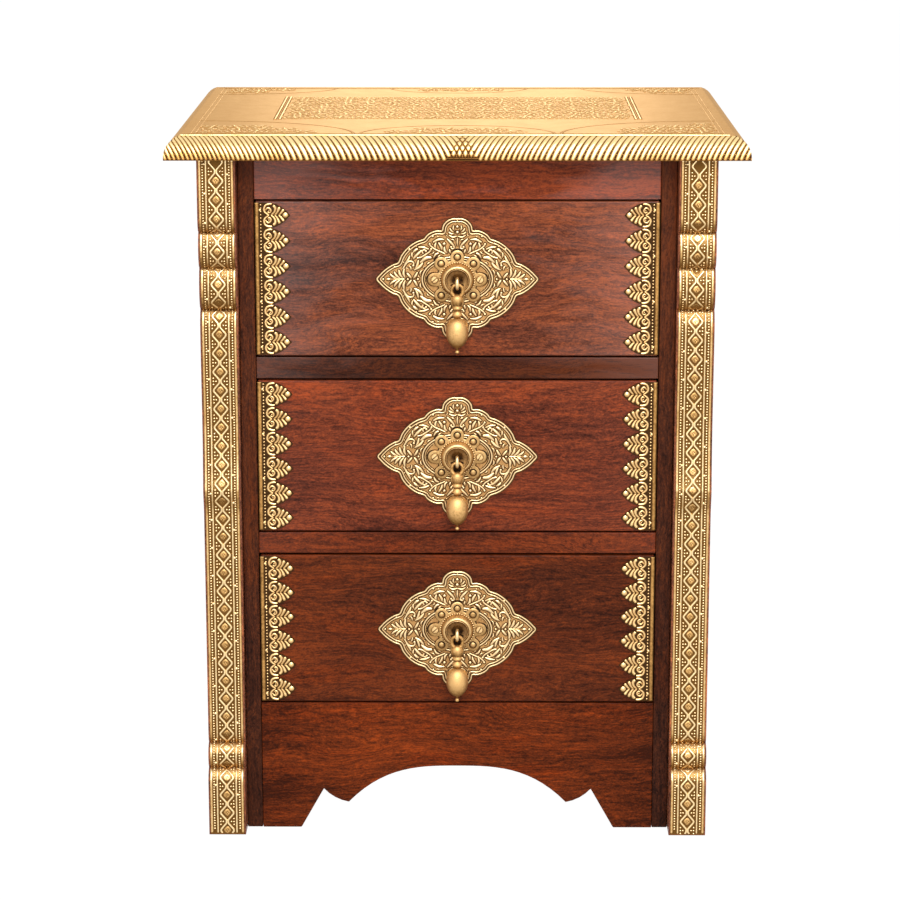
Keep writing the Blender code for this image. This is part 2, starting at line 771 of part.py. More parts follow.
def tenon_box(name, low, high, clearance):
    """Box across the frame that holds both tenons of a member, or cuts both mortises."""
    reach = OPENING_WIDTH / 2 + TENON_LENGTH + clearance
    middle = FACE + FRAME_THICKNESS / 2
    half = TENON_THICKNESS / 2 + clearance
    bottom, top = tenon_heights(name, low, high)
    return box_mesh(
        "tenon", (-reach, middle - half, bottom - clearance), (reach, middle + half, top + clearance)
    )


def build_face_frame(wood):
    """Stiles, top rail, dividers and apron."""
    members = frame_members()
    stile = box_mesh(
        "stile",
        (-POST_INNER + GAP, FACE, 0),
        (-OPENING_WIDTH / 2, FRAME_BACK, FRAME_TOP),
    )
    stile = cut(stile, *[tenon_box(*member, TENON_CLEARANCE) for member in members])
    place("left_stile", stile, wood)
    place("right_stile", mirrored(stile, "stile"), wood)
    half = OPENING_WIDTH / 2 - GAP
    for name, low, high in members:
        if name == "apron":
            member = prism_mesh(name, apron_outline(), "y", FACE, FRAME_BACK)
        else:
            member = box_mesh(name, (-half, FACE, low), (half, FRAME_BACK, high))
        place(name, joined(member, tenon_box(name, low, high, 0)), wood)


# Drawers


def rounded_front_mesh():
    """Board of a drawer front, with the edges of its face rounded over."""
    half = FRONT_WIDTH / 2
    board = bmesh.new()
    add_box(board, (-half, -FRONT_PROUD, FRONT_BOTTOM_GAP), (half, FRONT_BACK, FRONT_TOP))
    face = min(board.faces, key=lambda item: item.calc_center_median().y)
    bmesh.ops.bevel(
        board,
        geom=list(face.edges),
        offset=FRONT_EDGE_ROUND,
        segments=FRONT_EDGE_STEPS,
        profile=0.5,
        affect="EDGES",
    )
    return finish_mesh(board, "front")


def drawer_front_mesh():
    """Drawer front, lapped for the sides, grooved for the bottom and bored for the pin."""
    half = FRONT_WIDTH / 2
    front = rounded_front_mesh()
    lap = -FRONT_PROUD + FRONT_LAP
    tools = []
    for side in (-1, 1):
        edges = sorted((side * (DRAWER_INNER - GAP), side * (half + DRAWER_SIDE_THICKNESS)))
        tools.append(
            box_mesh(
                "lap",
                (edges[0], lap, -FRONT_THICKNESS),
                (edges[1], FRONT_BACK + FRONT_THICKNESS, DRAWER_SIDE_HEIGHT + GAP),
            )
        )
    tools.append(
        box_mesh(
            "groove",
            (-half - GAP, FRONT_BACK - DRAWER_GROOVE_DEPTH, DRAWER_BOTTOM_HEIGHT - GAP),
            (half + GAP, FRONT_BACK + FRONT_THICKNESS, DRAWER_BOTTOM_TOP + GAP),
        )
    )
    bore = rod_mesh("bore", PIN_HOLE_RADIUS, -FRONT_THICKNESS, 2 * FRONT_THICKNESS)
    bore.transform(Matrix.Translation((0, 0, HANDLE_HEIGHT)))
    tools.append(bore)
    return cut(front, *tools)


def drawer_side_mesh():
    """Left drawer side with the groove for the bottom."""
    outer = -FRONT_WIDTH / 2
    inner = -DRAWER_INNER
    bed = inner - DRAWER_GROOVE_DEPTH
    low = DRAWER_BOTTOM_HEIGHT - GAP
    high = DRAWER_BOTTOM_TOP + GAP
    outline = (
        (outer, GAP),
        (inner, GAP),
        (inner, low),
        (bed, low),
        (bed, high),
        (inner, high),
        (inner, DRAWER_SIDE_HEIGHT),
        (outer, DRAWER_SIDE_HEIGHT),
    )
    return prism_mesh("side", outline, "y", -FRONT_PROUD + FRONT_LAP + GAP, DRAWER_REAR)


def drawer_back_mesh():
    """Drawer back, which stands on the bottom between the sides."""
    half = DRAWER_INNER - GAP
    return box_mesh(
        "back",
        (-half, DRAWER_REAR - DRAWER_BACK_THICKNESS, DRAWER_BOTTOM_TOP + GAP),
        (half, DRAWER_REAR, DRAWER_SIDE_HEIGHT - DRAWER_BACK_DROP),
    )


def drawer_bottom_mesh():
    """Drawer bottom, held in the grooves of the front and the sides."""
    half = DRAWER_INNER + DRAWER_GROOVE_DEPTH - GAP
    return box_mesh(
        "bottom",
        (-half, FRONT_BACK - DRAWER_GROOVE_DEPTH + GAP, DRAWER_BOTTOM_HEIGHT),
        (half, DRAWER_REAR, DRAWER_BOTTOM_TOP),
    )


def lace_mesh():
    """Brass lace on the left end of a drawer front, with its return round the end."""
    edge = -FRONT_WIDTH / 2
    outline = [(edge + x, z) for x, z in lace_outline()]
    front = -FRONT_PROUD - GAP - LACE_THICKNESS
    lace = prism_mesh("lace", outline, "y", front, -FRONT_PROUD + LACE_RETURN)
    behind = box_mesh(
        "behind",
        (edge - GAP, -FRONT_PROUD - GAP, -OPENING_HEIGHT),
        (edge + FRONT_WIDTH, FRONT_THICKNESS, 2 * OPENING_HEIGHT),
    )
    return cut(lace, behind)


# Drop pull, built round the point where its pin enters the drawer front


def plate_mesh():
    """Scalloped back plate with the hole for the pin."""
    plate = prism_mesh("plate", plate_outline(), "y", -PLATE_FRONT, -GAP)
    bore = rod_mesh("bore", PIN_HOLE_RADIUS, -2 * PLATE_FRONT, PLATE_FRONT)
    return cut(plate, bore)


def dome_profile(front, back):
    """Hollow-topped dome of the rosette, as (radius, y) pairs from its back to the floor of its cup."""
    crest = front - DOME_HEIGHT
    foot = front - DOME_FOOT_HEIGHT
    lip = crest + DOME_LIP_DEPTH
    profile = [(0, back), (DOME_FOOT_RADIUS, back)]
    for step in range(DOME_STEPS):
        angle = math.pi / 2 * step / DOME_STEPS
        radius = DOME_CREST_RADIUS + (DOME_FOOT_RADIUS - DOME_CREST_RADIUS) * math.cos(angle)
        profile.append((radius, foot + (crest - foot) * math.sin(angle)))
    for step in range(DOME_STEPS):
        angle = math.pi / 2 * step / DOME_STEPS
        radius = DOME_CREST_RADIUS + (DOME_CUP_RADIUS - DOME_CREST_RADIUS) * math.sin(angle)
        profile.append((radius, lip + (crest - lip) * math.cos(angle)))
    floor = crest + DOME_CUP_DEPTH
    return profile + [(DOME_CUP_RADIUS, lip), (DOME_CUP_RADIUS, floor), (0, floor)]


def rosette_mesh():
    """Cast rosette: a disc of petals with bosses, and a dome with a cup for the eye."""
    front = -ROSETTE_BACK - PETAL_DISC_THICKNESS
    middle = (front - ROSETTE_BACK) / 2
    disc = prism_mesh("rosette", petal_outline(), "y", front, -ROSETTE_BACK)
    parts = []
    for index in range(PETAL_COUNT):
        angle = 2 * math.pi * index / PETAL_COUNT
        centre = (PETAL_ORBIT * math.cos(angle), 0, PETAL_ORBIT * math.sin(angle))
        boss = rod_mesh("boss", PETAL_BOSS_RADIUS, front - PETAL_BOSS_HEIGHT, middle, PETAL_BOSS_SIDES)
        boss.transform(Matrix.Translation(centre))
        parts.append(boss)
    dome = bmesh.new()
    add_turned(dome, dome_profile(front, middle), "y")
    parts.append(finish_mesh(dome, "dome"))
    bore = rod_mesh("bore", PIN_HOLE_RADIUS, front - 2 * DOME_HEIGHT, -GAP)
    return smooth(cut(joined(disc, *parts), bore))


def pin_route():
    """Centre line of the split pin in the Y-Z plane, as (y, z, wire radius): leg, eye and leg."""
    leg = FRONT_THICKNESS + GAP + PIN_WIRE_RADIUS
    bend = PIN_BEND_RADIUS
    neck = -EYE_REACH + EYE_NECK
    upper = [(leg, PIN_STRAND_OFFSET + PIN_LEG_LENGTH)]
    for step in range(PIN_BEND_STEPS + 1):
        angle = math.pi / 2 * step / PIN_BEND_STEPS
        y = leg - bend * (1 - math.cos(angle))
        upper.append((y, PIN_STRAND_OFFSET + bend * (1 - math.sin(angle))))
    upper.append((neck, PIN_STRAND_OFFSET))
    spread = math.hypot(EYE_NECK, PIN_STRAND_OFFSET)
    start = math.atan2(PIN_STRAND_OFFSET, EYE_NECK) + math.acos(EYE_RADIUS / spread)
    eye = []
    for step in range(EYE_STEPS + 1):
        angle = start + (2 * math.pi - 2 * start) * step / EYE_STEPS
        y = -EYE_REACH + EYE_RADIUS * math.cos(angle)
        eye.append((y, EYE_RADIUS * math.sin(angle) - EYE_DROOP, EYE_WIRE_RADIUS))
    first = [(y, z, PIN_WIRE_RADIUS) for y, z in upper]
    last = [(y, -z, PIN_WIRE_RADIUS) for y, z in reversed(upper)]
    return first + eye + last


def pin_curve():
    """Split pin as one bent wire, thicker round its eye."""
    curve = bpy.data.curves.new("pin", "CURVE")
    curve.dimensions = "3D"
    curve.bevel_depth = PIN_WIRE_RADIUS
    curve.bevel_resolution = 2
    curve.use_fill_caps = True
    spline = curve.splines.new("POLY")
    route = pin_route()
    spline.points.add(len(route) - 1)
    for point, (y, z, wire) in zip(spline.points, route):
        point.co = (0, y, z, 1)
        point.radius = wire / PIN_WIRE_RADIUS
    return curve


def swelled(level, above, swelling):
    """Turned swelling between two grooves, as (radius, height) pairs down from level, without its end."""
    length, radius, below, lean = swelling
    pairs = []
    for step in range(DROP_BEAD_STEPS):
        share = step / DROP_BEAD_STEPS
        groove = above + (below - above) * share
        bow = math.sin(math.pi * share**lean)
        pairs.append((groove + (radius - groove) * bow, level - length * share))
    return pairs


def drop_profile():
    """Turned body of the drop below its link, as (radius, height) pairs from the top down."""
    level = -2 * LINK_RADIUS - LINK_STRAIGHT
    profile = [(0, level)]
    groove = LINK_WIRE_RADIUS
    for swelling in (DROP_NECK, DROP_BEAD, DROP_COLLAR):
        profile += swelled(level, groove, swelling)
        level -= swelling[0]
        groove = swelling[2]
    profile.append((groove, level))
    for step in range(1, DROP_EGG_STEPS):
        share = step / DROP_EGG_STEPS
        offset = abs(2 * share**DROP_EGG_LEAN - 1)
        swell = math.sqrt(1 - offset**DROP_EGG_FULLNESS)
        profile.append((DROP_EGG_RADIUS * swell, level - DROP_EGG_LENGTH * share))
    level -= DROP_EGG_LENGTH
    profile += [(FINIAL_NECK_RADIUS, level), (FINIAL_NECK_RADIUS, level - FINIAL_NECK_LENGTH)]
    level -= FINIAL_NECK_LENGTH
    profile += [(FINIAL_RADIUS, level - FINIAL_LENGTH / 2), (FINIAL_NECK_RADIUS, level - FINIAL_LENGTH)]
    return profile + [(0, level - FINIAL_LENGTH)]


def link_route():
    """Centre line of the oblong link, as (x, z) pairs round from the top, with its outward directions."""
    places = []
    for end in (0, 1):
        for step in range(LINK_STEPS + 1):
            angle = math.pi * (end + step / LINK_STEPS) - math.pi / 2
            out = Vector((math.sin(angle), math.cos(angle)))
            centre = Vector((0, -LINK_RADIUS - end * LINK_STRAIGHT))
            places.append((centre + out * LINK_RADIUS, out))
    return places


def drop_mesh():
    """Drop pull: a link that hangs in the eye and the turned drop under it."""
    body = bmesh.new()
    add_turned(body, drop_profile(), "z", 2 * LINK_STEPS)
    link = bmesh.new()
    loops = []
    for centre, out in link_route():
        loop = []
        for side in range(LINK_SIDES):
            angle = 2 * math.pi * side / LINK_SIDES
            x, z = centre + out * (LINK_WIRE_RADIUS * math.cos(angle))
            loop.append(link.verts.new((x, LINK_WIRE_RADIUS * math.sin(angle), z)))
        loops.append(loop)
    for first, second in zip(loops, loops[1:] + loops[:1]):
        for side in range(LINK_SIDES):
            after = (side + 1) % LINK_SIDES
            link.faces.new((first[side], first[after], second[after], second[side]))
    return smooth(joined(finish_mesh(body, "drop"), finish_mesh(link, "link")))


def build_drawers(wood, lining, ply, sheet, cast):
    """Three drawers, each on an empty at the floor of its opening, with their brass."""
    side = drawer_side_mesh()
    lace = lace_mesh()
    box_pieces = [
        ("front", drawer_front_mesh(), wood),
        ("left_side", side, lining),
        ("right_side", mirrored(side, "side"), lining),
        ("back", drawer_back_mesh(), lining),
        ("floor", drawer_bottom_mesh(), ply),
        ("left_lace", lace, sheet),
        ("right_lace", mirrored(lace, "lace"), sheet),
    ]
    pull_pieces = [
        ("plate", plate_mesh(), sheet),
        ("rosette", rosette_mesh(), cast),
        ("split_pin", pin_curve(), cast),
    ]
    drop = drop_mesh()
    for index, name in enumerate(DRAWER_NAMES):
        drawer = add_empty(f"{name}_drawer_slide", (0, FACE, opening_bottom(index)))
        for piece, data, finish in box_pieces:
            place(f"{name}_drawer_{piece}", data, finish, drawer)
        handle = (0, -FRONT_PROUD, HANDLE_HEIGHT)
        for piece, data, finish in pull_pieces:
            place(f"{name}_pull_{piece}", data, finish, drawer, handle)
        hinge = (0, handle[1] - EYE_REACH, handle[2] - EYE_DROOP - LINK_HANG)
        place(f"{name}_pull_drop", drop, cast, drawer, hinge)


def main():
    """Builds the chest."""
    for obj in list(bpy.data.objects):
        bpy.data.objects.remove(obj)
    rosewood = make_material("rosewood", (0.10, 0.030, 0.017), 0.32, 0)
    lining = make_material("drawer_lining", (0.36, 0.20, 0.10), 0.6, 0)
    ply = make_material("plywood", (0.30, 0.17, 0.09), 0.65, 0)
    sheet = make_material("sheet_brass", (0.72, 0.50, 0.22), 0.32, 1)
    cast = make_material("cast_brass", (0.60, 0.42, 0.20), 0.36, 1)
    build_top(rosewood, sheet)
    build_sides(rosewood, sheet, ply)
    build_face_frame(rosewood)
    build_drawers(rosewood, lining, ply, sheet, cast)


main()
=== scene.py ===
"""Looks of a brass-clad bedside chest: lacquered rosewood, embossed sheet brass and cast drop pulls.

Metres, +Z up, drawers opening towards -Y. Flat patterns are drawn in millimetres, pressed into raised
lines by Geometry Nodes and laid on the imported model's own surfaces.
"""

import json
import logging
import math
import random
from dataclasses import dataclass, field
from enum import Enum
from typing import Any, Callable, Sequence

import bmesh
import bpy
import numpy as np
from bmesh.types import BMVert
from bpy.types import ColorRamp, Material, Mesh, Node, NodeSocket, NodeTree, Object
from mathutils import Matrix, Vector

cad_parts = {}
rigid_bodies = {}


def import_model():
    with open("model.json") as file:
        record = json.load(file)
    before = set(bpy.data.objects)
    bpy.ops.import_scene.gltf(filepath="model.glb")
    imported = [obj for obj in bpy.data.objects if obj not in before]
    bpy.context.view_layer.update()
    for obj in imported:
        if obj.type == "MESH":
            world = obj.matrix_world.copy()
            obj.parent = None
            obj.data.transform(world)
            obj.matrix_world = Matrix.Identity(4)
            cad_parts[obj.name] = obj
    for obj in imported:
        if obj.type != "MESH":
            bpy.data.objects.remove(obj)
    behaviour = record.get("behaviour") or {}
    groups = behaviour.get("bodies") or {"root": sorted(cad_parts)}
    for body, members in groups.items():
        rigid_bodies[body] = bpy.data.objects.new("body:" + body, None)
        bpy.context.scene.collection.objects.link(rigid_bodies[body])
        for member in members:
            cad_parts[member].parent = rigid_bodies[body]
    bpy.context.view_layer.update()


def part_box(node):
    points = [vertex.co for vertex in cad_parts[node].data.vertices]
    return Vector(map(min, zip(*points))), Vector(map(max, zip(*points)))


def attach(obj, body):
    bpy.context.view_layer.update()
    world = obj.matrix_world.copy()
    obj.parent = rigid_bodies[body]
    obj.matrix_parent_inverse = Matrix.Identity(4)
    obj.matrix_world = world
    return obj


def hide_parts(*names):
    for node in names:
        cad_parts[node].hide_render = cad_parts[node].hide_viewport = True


LOG = logging.getLogger("chest")
MM = 0.001
DRAWERS = ("bottom", "middle", "top")
SIDES = ("left", "right")
RELIEF = "relief"
# Attribute that paints shade on what faces down and light on what faces up.
PAINTED_LIGHT_AND_SHADE = "shelter"
HALF_WIDTH = "half_width"
CROWN = "crown"
IS_DOT = "is_dot"
IN_PLACE = Matrix.Identity(4)
FACING = Matrix.Rotation(math.radians(90), 4, "X")
SHEET_DEPTH = 0.0007
PAINTED_LIGHT_AND_SHADE_GAIN = 1.5
WELD_REACH = 1e-5
EASED_ANGLE = math.radians(35)

Point = tuple[float, float]
Line = Sequence[Point]
Triple = tuple[float, float, float]
Colour = tuple[float, float, float, float]
Box = tuple[float, float, float, float]
WHITE: Colour = (1.0, 1.0, 1.0, 1.0)


class Grain(Enum):
    """Way that a board's grain runs, as the turn that brings it onto the texture's X axis."""

    ACROSS = (0.0, 0.0, 0.0)
    DEEP = (0.0, 0.0, math.radians(-90))
    UPRIGHT = (0.0, math.radians(90), 0.0)


class Slot(Enum):
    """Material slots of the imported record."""

    SHEET = "sheet_brass"
    CAST = "cast_brass"


# Node trees


class Wire:
    """Output socket of a node that takes part in arithmetic."""

    def __init__(self, graph: "Graph", socket: NodeSocket) -> None:
        """Keep the socket and the tree that further nodes go into."""
        self.graph = graph
        self.socket = socket

    def maths(self, operation: str, first: Any, second: Any) -> "Wire":
        """Result of a Math node on numbers or wires."""
        return self.graph.wire("ShaderNodeMath", {"operation": operation}, {0: first, 1: second})

    def __add__(self, other: Any) -> "Wire":
        """Sum."""
        return self.maths("ADD", self, other)

    __radd__ = __add__

    def __sub__(self, other: Any) -> "Wire":
        """Difference."""
        return self.maths("SUBTRACT", self, other)

    def __rsub__(self, other: Any) -> "Wire":
        """Difference from a number on the left."""
        return self.maths("SUBTRACT", other, self)

    def __mul__(self, other: Any) -> "Wire":
        """Product."""
        return self.maths("MULTIPLY", self, other)

    __rmul__ = __mul__

    def __truediv__(self, other: Any) -> "Wire":
        """Quotient."""
        return self.maths("DIVIDE", self, other)

    def __rtruediv__(self, other: Any) -> "Wire":
        """Quotient of a number on the left."""
        return self.maths("DIVIDE", other, self)

    def clamped(self) -> "Wire":
        """Value held between 0 and 1."""
        return self.graph.wire("ShaderNodeClamp", {}, {"Value": self})


class Graph:
    """Node tree under construction."""

    def __init__(self, tree: NodeTree) -> None:
        """Start from an emptied tree."""
        self.tree = tree
        tree.nodes.clear()

    def node(self, kind: str, settings: dict[str, Any], sockets: dict[Any, Any]) -> Node:
        """Add a node of any type.

        Args:
            kind: Blender's type name.
            settings: properties, set before the sockets; "stops" holds a colour ramp's (place, colour).
            sockets: value or wire of each input, by its name or number.

        Returns:
            The new node.
        """
        made = self.tree.nodes.new(kind)
        for name, value in settings.items():
            if name == "stops":
                self._set_stops(made.color_ramp, value)
            else:
                setattr(made, name, value)
        for key, value in sockets.items():
            if isinstance(value, Wire):
                self.tree.links.new(value.socket, made.inputs[key])
            else:
                made.inputs[key].default_value = value
        return made

    def wire(
        self,
        kind: str,
        settings: dict[str, Any] | None = None,
        sockets: dict[Any, Any] | None = None,
        output: Any = 0,
    ) -> Wire:
        """Output, by its name or number, of a new node."""
        return Wire(self, self.node(kind, settings or {}, sockets or {}).outputs[output])

    def vector(self, operation: str, first: Any, second: Any) -> Wire:
        """Result of a Vector Math node on vectors or wires."""
        return self.wire("ShaderNodeVectorMath", {"operation": operation}, {0: first, 1: second})

    def combined(self, x: Any, y: Any, z: Any) -> Wire:
        """Vector of three numbers or wires."""
        return self.wire("ShaderNodeCombineXYZ", {}, {"X": x, "Y": y, "Z": z})

    def separated(self, vector: Wire) -> tuple[Wire, Wire, Wire]:
        """Three parts of a vector: its x, y and z."""
        parts = self.node("ShaderNodeSeparateXYZ", {}, {0: vector}).outputs
        return Wire(self, parts[0]), Wire(self, parts[1]), Wire(self, parts[2])

    @staticmethod
    def _set_stops(ramp: ColorRamp, stops: Sequence[tuple[float, Colour]]) -> None:
        """Replace the stops of a colour ramp.

        Args:
            ramp: ramp to fill.
            stops: place and colour of each stop.
        """
        while len(ramp.elements) > 1:
            ramp.elements.remove(ramp.elements[-1])
        for index, (place, colour) in enumerate(stops):
            stop = ramp.elements[0] if index == 0 else ramp.elements.new(place)
            stop.position = place
            stop.color = colour


class Shading(Graph):
    """Shader tree of one material."""

    def place(self) -> Wire:
        """Object coordinates of the shaded point."""
        return self.wire("ShaderNodeTexCoord", output="Object")

    def noise(self, place: Wire, stretch: Triple, detail: float, distortion: float = 0.0) -> Wire:
        """Noise drawn out along one way.

        Args:
            place: coordinates.
            stretch: how often it varies per metre, along each axis.
            detail: number of finer layers.
            distortion: how much it swirls.

        Returns:
            Noise of about 0 to 1.
        """
        sockets = {
            "Vector": self.vector("MULTIPLY", place, stretch),
            "Scale": 1.0,
            "Detail": detail,
            "Roughness": 0.6,
            "Distortion": distortion,
        }
        return self.wire("ShaderNodeTexNoise", {}, sockets)

    def ramp(self, level: Wire, stops: Sequence[tuple[float, Colour]]) -> Wire:
        """Colour at a level of a ramp with (place, colour) stops."""
        return self.wire("ShaderNodeValToRGB", {"stops": stops}, {"Fac": level})

    def mixed(self, share: Any, first: Any, second: Any, blend: str = "MIX") -> Wire:
        """Colour with a share of a second one mixed in."""
        settings = {"data_type": "RGBA", "blend_type": blend}
        return self.wire("ShaderNodeMix", settings, {0: share, 6: first, 7: second}, 2)

    def bump(self, height: Wire, distance: float) -> Wire:
        """Normal of a surface with bumps of some depth in metres."""
        return self.wire("ShaderNodeBump", {}, {"Strength": 1.0, "Distance": distance, "Height": height})


class Modelling(Graph):
    """Geometry Nodes tree with named inputs, put onto objects as a modifier."""

    def __init__(self, name: str, inputs: dict[str, str]) -> None:
        """Make the tree's interface.

        Args:
            name: name of the tree.
            inputs: kind of socket of each named input besides the geometry.
        """
        super().__init__(bpy.data.node_groups.new(name, "GeometryNodeTree"))
        self.identifiers: dict[str, str] = {}
        faces = self.tree.interface
        faces.new_socket("Geometry", in_out="INPUT", socket_type="NodeSocketGeometry")
        faces.new_socket("Geometry", in_out="OUTPUT", socket_type="NodeSocketGeometry")
        for label, kind in inputs.items():
            made = faces.new_socket(label, in_out="INPUT", socket_type=f"NodeSocket{kind}")
            self.identifiers[label] = made.identifier
        self.source = self.tree.nodes.new("NodeGroupInput")

    def given(self, label: str) -> Wire:
        """Named input of the tree."""
        return Wire(self, self.source.outputs[label])

    def shape_of(self, label: str) -> Wire:
        """Geometry of the object given under a label."""
        return self.wire("GeometryNodeObjectInfo", {}, {"Object": self.given(label)}, "Geometry")

    def joined(self, *parts: Wire) -> Wire:
        """Several geometries as one.

        Args:
            *parts: geometries.

        Returns:
            All of them.
        """
        node = self.node("GeometryNodeJoinGeometry", {}, {})
        for part in parts:
            self.tree.links.new(part.socket, node.inputs[0])
        return Wire(self, node.outputs[0])

    def attribute(self, name: str, kind: str = "FLOAT") -> Wire:
        """Attribute that the line work carries."""
        return self.wire("GeometryNodeInputNamedAttribute", {"data_type": kind}, {"Name": name})

    def close(self, result: Wire) -> None:
        """End the tree with the geometry that it gives."""
        self.node("NodeGroupOutput", {}, {0: result})

    def close_with_copies(self, spots: Wire, **turn: Wire) -> None:
        """End the tree with copies of its motif, added to the geometry that it was given.

        Args:
            spots: points that the copies go to.
            **turn: rotation of each copy, if any.
        """
        sockets = {"Points": spots, "Instance": self.shape_of("Motif"), **turn}
        copies = self.wire("GeometryNodeInstanceOnPoints", {}, sockets)
        placed = self.wire("GeometryNodeRealizeInstances", {}, {0: copies})
        self.close(self.joined(self.given("Geometry"), placed))

    def put_on(self, target: Object, **values: Any) -> None:
        """Add the tree to an object.

        Args:
            target: object that carries the modifier.
            **values: value of each named input, with _ for a space.
        """
        modifier = target.modifiers.new(self.tree.name, "NODES")
        modifier.node_group = self.tree
        for label, value in values.items():
            modifier[self.identifiers[label.replace("_", " ")]] = value


# Finishes


class Finish:
    """Procedural material of one kind of surface."""

    name: str

    def paint(self, graph: Shading) -> dict[str, Any]:
        """Value or wire of each input of the Principled node that this finish sets."""
        raise NotImplementedError

    def cover(self, graph: Shading, surface: Wire) -> Wire:
        """Shader that shows, which is the surface itself unless a finish lays something over it."""
        return surface

    def build(self) -> Material:
        """Make the material once.

        Returns:
            The material of this finish.
        """
        known = bpy.data.materials.get(self.name)
        if known is not None:
            return known
        material = bpy.data.materials.new(self.name)
        material.use_nodes = True
        graph = Shading(material.node_tree)
        surface = graph.wire("ShaderNodeBsdfPrincipled", {}, self.paint(graph))
        graph.node("ShaderNodeOutputMaterial", {}, {"Surface": self.cover(graph, surface)})
        return material


@dataclass(frozen=True)
class Wood(Finish):
    """Figured board with streaks and pores.

    Attributes:
        name: name of the material.
        grain: way that the grain runs.
        seed: shifts the figure, so that no two boards are alike.
        tone: colour of most of the board.
        gloss: roughness of the finish.
        shine: strength of its reflection.
        trend: how much lighter the board gets per metre along it, and per square metre towards its ends.
        haze: strength of the waxy bloom near its ends.
        pore_depth: depth of its pores in metres.
    """

    name: str
    grain: Grain
    seed: float
    tone: Triple
    gloss: float = 0.36
    shine: float = 0.07
    trend: Point = (0.0, 0.0)
    haze: float = 0.0
    pore_depth: float = 0.00006

    def tinted(self, red: float, green: float, blue: float) -> Colour:
        """Tone of the board, with each part scaled."""
        return (self.tone[0] * red, self.tone[1] * green, self.tone[2] * blue, 1.0)

    def paint(self, graph: Shading) -> dict[str, Any]:
        """Clouds, streaks, pores and fine grain along the board.

        Args:
            graph: tree of the material.

        Returns:
            Inputs of the Principled node.
        """
        shift = (self.seed * 0.731, self.seed * 0.417, self.seed * 0.259)
        sockets = {"Vector": graph.place(), "Rotation": self.grain.value, "Location": shift}
        board = graph.wire("ShaderNodeMapping", {}, sockets)
        sway = graph.noise(board, (6.0, 13.0, 13.0), 2.0) - 0.5
        board = graph.vector("ADD", board, graph.combined(0.0, sway * 0.045, sway * 0.045))
        cloud = graph.noise(board, (4.0, 20.0, 20.0), 3.0, 0.6)
        warm = graph.noise(board, (9.0, 46.0, 46.0), 4.0, 0.8)
        streak = graph.noise(board, (9.0, 150.0, 150.0), 5.0, 0.3)
        fine = graph.noise(board, (42.0, 520.0, 520.0), 5.0, 0.1)
        fleck = graph.noise(board, (190.0, 640.0, 640.0), 3.0, 0.2)
        grit = graph.noise(board, (500.0, 1000.0, 1000.0), 2.0)
        pore = graph.noise(board, (60.0, 1100.0, 1100.0), 2.0)
        along = graph.separated(graph.place())[0]
        if self.grain is Grain.UPRIGHT:
            along = graph.separated(graph.place())[2] - 0.3
        slope, ends = self.trend
        # The trend paints the board lighter or darker along it and towards its ends: painted light and
        # shade.
        wide = (cloud - 0.5) * 1.0 + (streak - 0.5) * 0.75 + along * slope + along * along * ends
        close = (fine - 0.5) * 1.15 + (fleck - 0.5) * 1.0 + (grit - 0.5) * 0.9
        level = (wide + close + 0.5).clamped()
        dark = self.tinted(0.24, 0.25, 0.30)
        stops = [(0.05, dark), (0.48, self.tinted(0.92, 0.92, 0.94)), (0.95, self.tinted(2.2, 2.0, 1.4))]
        open_pores = ((pore - 0.57) * 8.0).clamped()
        glow = ((warm - 0.5) * 5.0).clamped()
        plain = graph.mixed(glow * 0.6, graph.ramp(level, stops), (1.22, 0.92, 0.50, 1.0), "MULTIPLY")
        inputs = {
            "Base Color": graph.mixed(open_pores * 0.5, plain, dark),
            "Roughness": self.gloss + (fine - 0.5) * 0.2,
            "Normal": graph.bump(fine - open_pores, self.pore_depth),
            "Specular IOR Level": self.shine,
        }
        if self.haze > 0:
            inputs["Coat Weight"] = ((along * along * 22.0 + warm - 0.6) * self.haze).clamped()
            inputs["Coat Roughness"] = 0.5
        return inputs


